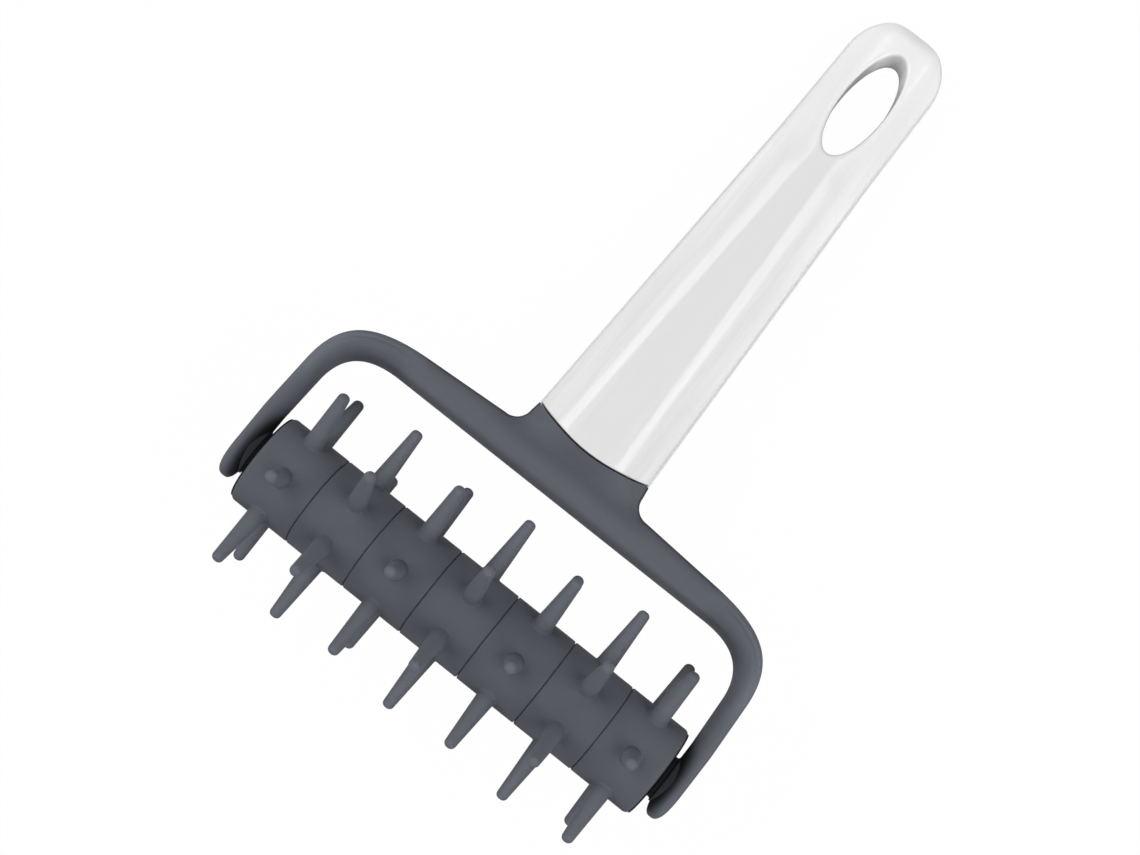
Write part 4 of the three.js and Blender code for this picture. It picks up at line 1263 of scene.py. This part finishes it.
def slate_plastic(context):
    """Grey moulded plastic: fine spark-eroded grain, soft patches, faint scuffs and paler worn edges, with
    painted light, a painted highlight and painted shadow laid on by slate_tone() and slate_shadow().
    """
    made = bpy.data.materials.get("slate_plastic_fine")
    if made:
        return made
    finish = context.scene.docker_finish
    recipe = Recipe(bpy.data.materials.new("slate_plastic_fine"))
    place = recipe.tool_place(context.scene)
    at = ToolPlace(recipe, place)
    grain = recipe.noise(place, finish.grain, detail=3)
    mottle = recipe.noise(place, finish.mottle, detail=3)
    scuff = recipe.noise(place, finish.scuff, detail=6).over(*SCUFFS)
    edge = recipe.node("ShaderNodeNewGeometry", {}, {}, "Pointiness").over(*WORN_EDGES)
    not_yoke = (1 - at.along.over(*YOKE_STARTS)) * (1 - at.across.over(*ARM_STARTS))
    off_pins = 1 - at.off_axle.over(*PINS_START) * not_yoke

    # tone holds each part's painted light, and bend the painted shade inside the bends
    tone, bend = slate_tone(recipe, finish, at, mottle)
    wear = edge * off_pins * EDGE_WORN + scuff * SCUFF_WORN
    worn = recipe.mix(wear, tone, shade(finish.slate, finish.worn_shade))
    # How far each place goes towards the painted shadow
    painted_shadow = slate_shadow(recipe, at, off_pins, bend)
    recipe.fill(recipe.shader, {
        "Base Color": recipe.mix(painted_shadow, worn, shade(finish.slate, finish.shadow_shade)),
        "Roughness": uneven(mottle, finish.slate_rough, finish.slate_uneven) + scuff * finish.scuff_rough,
        "Normal": recipe.bump(grain * off_pins, finish.grain_height, strength=0.25),
        "Specular IOR Level": finish.slate_shine,
    })
    return recipe.owner


def white_plastic(context):
    """Glossy white plastic: faint flow streaks along the handle, a slight ripple and fine handling marks,
    and painted light towards its end. The wall of the hanging hole is matt, with a painted shade that greys
    its sides."""
    finish, sizes = context.scene.docker_finish, context.scene.docker_handle
    recipe = Recipe(bpy.data.materials.new("white_plastic_gloss"))
    place = recipe.tool_place(context.scene)
    at = ToolPlace(recipe, place)
    streak = recipe.noise(place, finish.scuff, detail=1.5, stretch=STREAK_SHAPE)
    mottle = recipe.noise(place, finish.mottle, detail=3)
    scratch = recipe.noise(place, finish.grain, detail=4, stretch=SCRATCH_SHAPE).over(*SCRATCHES)
    off_facet = (at.across.over(*FACET_EDGE) + at.along.over(*HOLE_STARTS)).over(0, 1)
    streaks = streak.over(*STREAKS) * (FACET_STREAKS + off_facet * (1 - FACET_STREAKS))
    shades = (finish.streak_dark, finish.streak_pale, finish.handle_end_painted_light, finish.hole_wall_painted_shade)
    dark, pale, end, side = (shade(finish.white, paleness) for paleness in shades)
    # The handle's end gets painted light, and the hole's wall a painted shade at its sides
    tone = recipe.mix(at.along.over(*END_STARTS), recipe.mix(streaks, dark, pale), end)
    wall = recipe.mix(at.across.over(*WALL_SIDES), shade(finish.white, 1), side)
    # Distance from the hole's centre, as a share of the hole's own reach
    from_centre = recipe.maths_on(place, "SUBTRACT", (0, sizes.hole_centre_y, 0))
    reach = (1 / sizes.hole_half_width, 1 / sizes.hole_half_length, 0)
    in_hole = 1 - recipe.length(recipe.maths_on(from_centre, "MULTIPLY", reach)).over(*WALL_ENDS)
    rough = uneven(mottle, finish.white_rough, finish.white_uneven) + scratch * finish.scuff_rough
    ripple = recipe.bump(mottle, finish.ripple_height)
    recipe.fill(recipe.shader, {
        "Base Color": recipe.mix(in_hole, tone, wall),
        "Roughness": rough + in_hole * finish.hole_rough,
        "Normal": recipe.bump(streak, finish.streak_height, normal=ripple),
        "Coat Weight": finish.gloss - in_hole * finish.gloss,
        "Coat Roughness": finish.gloss_rough,
    })
    return recipe.owner


def bearing_plastic(context):
    """Slick grey bearing plastic with a fine grain and soft polished patches, and a painted shadow in the
    gaps.
    """
    finish = context.scene.docker_finish
    recipe = Recipe(bpy.data.materials.new("bearing_plastic_slick"))
    place = recipe.tool_place(context.scene)
    grain = recipe.noise(place, finish.grain, detail=3)
    mottle = recipe.noise(place, finish.scuff, detail=3)
    low, high = 1 - finish.bearing_patches, 1 + finish.bearing_patches
    tone = recipe.mix(mottle.over(*NOISE), shade(finish.bearing, low), shade(finish.bearing, high))
    gap = in_gap(ToolPlace(recipe, place))
    recipe.fill(recipe.shader, {
        "Base Color": recipe.mix(gap, tone, shade(finish.bearing, finish.shadow_shade)),
        "Roughness": uneven(mottle, finish.bearing_rough, finish.bearing_uneven),
        "Normal": recipe.bump(grain, finish.grain_height),
    })
    return recipe.owner


def rod_steel(context):
    """Drawn steel: fine lines along the rod and a soft unevenness in its polish."""
    finish = context.scene.docker_finish
    recipe = Recipe(bpy.data.materials.new("rod_steel_drawn"))
    place = recipe.tool_place(context.scene)
    lines = recipe.noise(place, finish.grain / 2, detail=2, stretch=LINE_SHAPE)
    dark, plain = shade(finish.steel, finish.line_shade), shade(finish.steel, 1)
    recipe.fill(recipe.shader, {
        "Base Color": recipe.mix(lines.over(*NOISE), dark, plain),
        "Roughness": uneven(lines, finish.steel_rough, finish.steel_uneven),
        "Normal": recipe.bump(lines, finish.line_height),
        "Metallic": 1.0,
    })
    return recipe.owner


def seen_directly(recipe):
    """1 for rays from the camera, or that reach it by a mirror or through glass, and 0 for all others."""
    names = ("Is Camera Ray", "Is Glossy Ray", "Is Transmission Ray")
    camera, glossy, glass = (recipe.node("ShaderNodeLightPath", {}, {}, name) for name in names)
    return camera.most(glossy).most(glass)


def floor_material(stage):
    """A pale matt floor that the camera sees lifted towards white, with a trace of the tool's shadow."""
    recipe = Recipe(bpy.data.materials.new("pale_floor"))
    grey = {"Base Color": shade(stage.floor, 1), "Roughness": 0.9, "Specular IOR Level": 0}
    recipe.fill(recipe.shader, grey)
    matt = Amount(recipe, recipe.shader.outputs["BSDF"])
    glow = recipe.node("ShaderNodeEmission", {}, {"Color": (1, 1, 1, 1), "Strength": stage.glow})
    lift = seen_directly(recipe) * stage.whiteness
    surface = recipe.node("ShaderNodeMixShader", {}, {0: lift, 1: matt, 2: glow})
    recipe.fill(recipe.tree.nodes["Material Output"], {"Surface": surface})
    return recipe.owner


def lamp(scene, name, energy, size, distance, off_overhead, heading):
    """A long soft lamp that faces the tool from an angle off overhead and a heading round it."""
    light = bpy.data.lights.new(name, "AREA")
    light.shape, light.energy = "RECTANGLE", energy
    light.size, light.size_y = size
    out = math.sin(off_overhead)
    away = Vector((out * math.cos(heading), out * math.sin(heading), math.cos(off_overhead)))
    thing = bpy.data.objects.new(name, light)
    thing.location = away * distance
    thing.rotation_euler = (-away).to_track_quat("-Z", "Y").to_euler()
    scene.collection.objects.link(thing)


class DOCKER_OT_stage(bpy.types.Operator):
    """Sets up the floor, the soft light and the camera"""

    bl_idname = "docker.stage"
    bl_label = "Stage"

    def execute(self, context):
        scene = context.scene
        stage = scene.docker_stage
        self.floor(scene, stage)
        self.world(scene, stage)
        far = stage.lamp_distance
        high, low = (stage.bank_length, stage.high_width), (stage.bank_length, stage.low_width)
        for side, heading in (("right", 0), ("left", math.pi)):
            lamp(scene, f"high_bank_{side}", stage.high_watts, high, far, stage.high_angle, heading)
            lamp(scene, f"low_bank_{side}", stage.low_watts, low, far, stage.low_angle, heading)
        end = (stage.end_length, stage.end_width)
        lamp(scene, "end_lamp", stage.end_watts, end, stage.end_distance, stage.end_angle, math.pi / 2)
        front = (stage.front_length, stage.front_width)
        lamp(scene, "front_lamp", stage.front_watts, front, far, stage.front_angle, -math.pi / 2)
        self.camera(scene, stage)
        scene.view_settings.view_transform = "Standard"
        return {"FINISHED"}

    def floor(self, scene, stage):
        """A wide square floor at the height on which the tool lies."""
        half = stage.floor_size / 2
        corners = [(-half, -half, 0), (half, -half, 0), (half, half, 0), (-half, half, 0)]
        mesh = bpy.data.meshes.new("floor")
        mesh.from_pydata(corners, [], [(0, 1, 2, 3)])
        mesh.materials.append(floor_material(stage))
        thing = bpy.data.objects.new("floor", mesh)
        scene.collection.objects.link(thing)

    def world(self, scene, stage):
        """A white backdrop that lights the tool only faintly."""
        scene.world = bpy.data.worlds.new("studio")
        recipe = Recipe(scene.world, "Background")
        strength = stage.ambient + seen_directly(recipe) * (1 - stage.ambient)
        recipe.fill(recipe.shader, {"Color": (1, 1, 1, 1), "Strength": strength})

    def camera(self, scene, stage):
        """A camera above the tool, turned and leaning as the photograph's camera was."""
        turned_round = Matrix.Rotation(stage.lean, 3, "Y") @ Matrix.Rotation(stage.turn, 3, "Z")
        camera = bpy.data.cameras.new("camera")
        camera.sensor_width, camera.lens = FILM_WIDTH, stage.focal
        thing = bpy.data.objects.new("camera", camera)
        place = Vector(AXLE) + turned_round @ Vector((-stage.across, -stage.up, stage.distance))
        thing.matrix_world = Matrix.Translation(place) @ turned_round.to_4x4()
        scene.collection.objects.link(thing)
        scene.camera = thing


OPERATORS = (
    DOCKER_OT_handle, DOCKER_OT_yoke, DOCKER_OT_rings, DOCKER_OT_core, DOCKER_OT_rod, DOCKER_OT_stage
)


class DOCKER_PT_sidebar(bpy.types.Panel):
    """Lists the docker's pieces and their sizes"""

    bl_label = "Dough docker"
    bl_idname = "DOCKER_PT_sidebar"
    bl_space_type = "VIEW_3D"
    bl_region_type = "UI"
    bl_category = "Docker"

    def draw(self, context):
        layout = self.layout
        for operator in OPERATORS:
            layout.operator(operator.bl_idname)
        for group, kind in GROUPS.items():
            box = layout.box()
            box.label(text=kind.__name__)
            for name in kind.__annotations__:
                box.prop(getattr(context.scene, group), name)


def register():
    """Adds the classes, and the groups of settings to the scene."""
    for kind in (*GROUPS.values(), *OPERATORS, DOCKER_PT_sidebar):
        bpy.utils.register_class(kind)
    for group, kind in GROUPS.items():
        setattr(bpy.types.Scene, group, bpy.props.PointerProperty(type=kind))


def unregister():
    """Takes the groups and the classes away again."""
    for group in GROUPS:
        delattr(bpy.types.Scene, group)
    for kind in (DOCKER_PT_sidebar, *reversed(OPERATORS), *GROUPS.values()):
        bpy.utils.unregister_class(kind)


def main():
    """Builds every piece and the stage."""
    register()
    bpy.ops.docker.handle()
    bpy.ops.docker.yoke()
    bpy.ops.docker.rings()
    bpy.ops.docker.core()
    bpy.ops.docker.rod()
    bpy.ops.docker.stage()


if __name__ == "__main__":
    main()
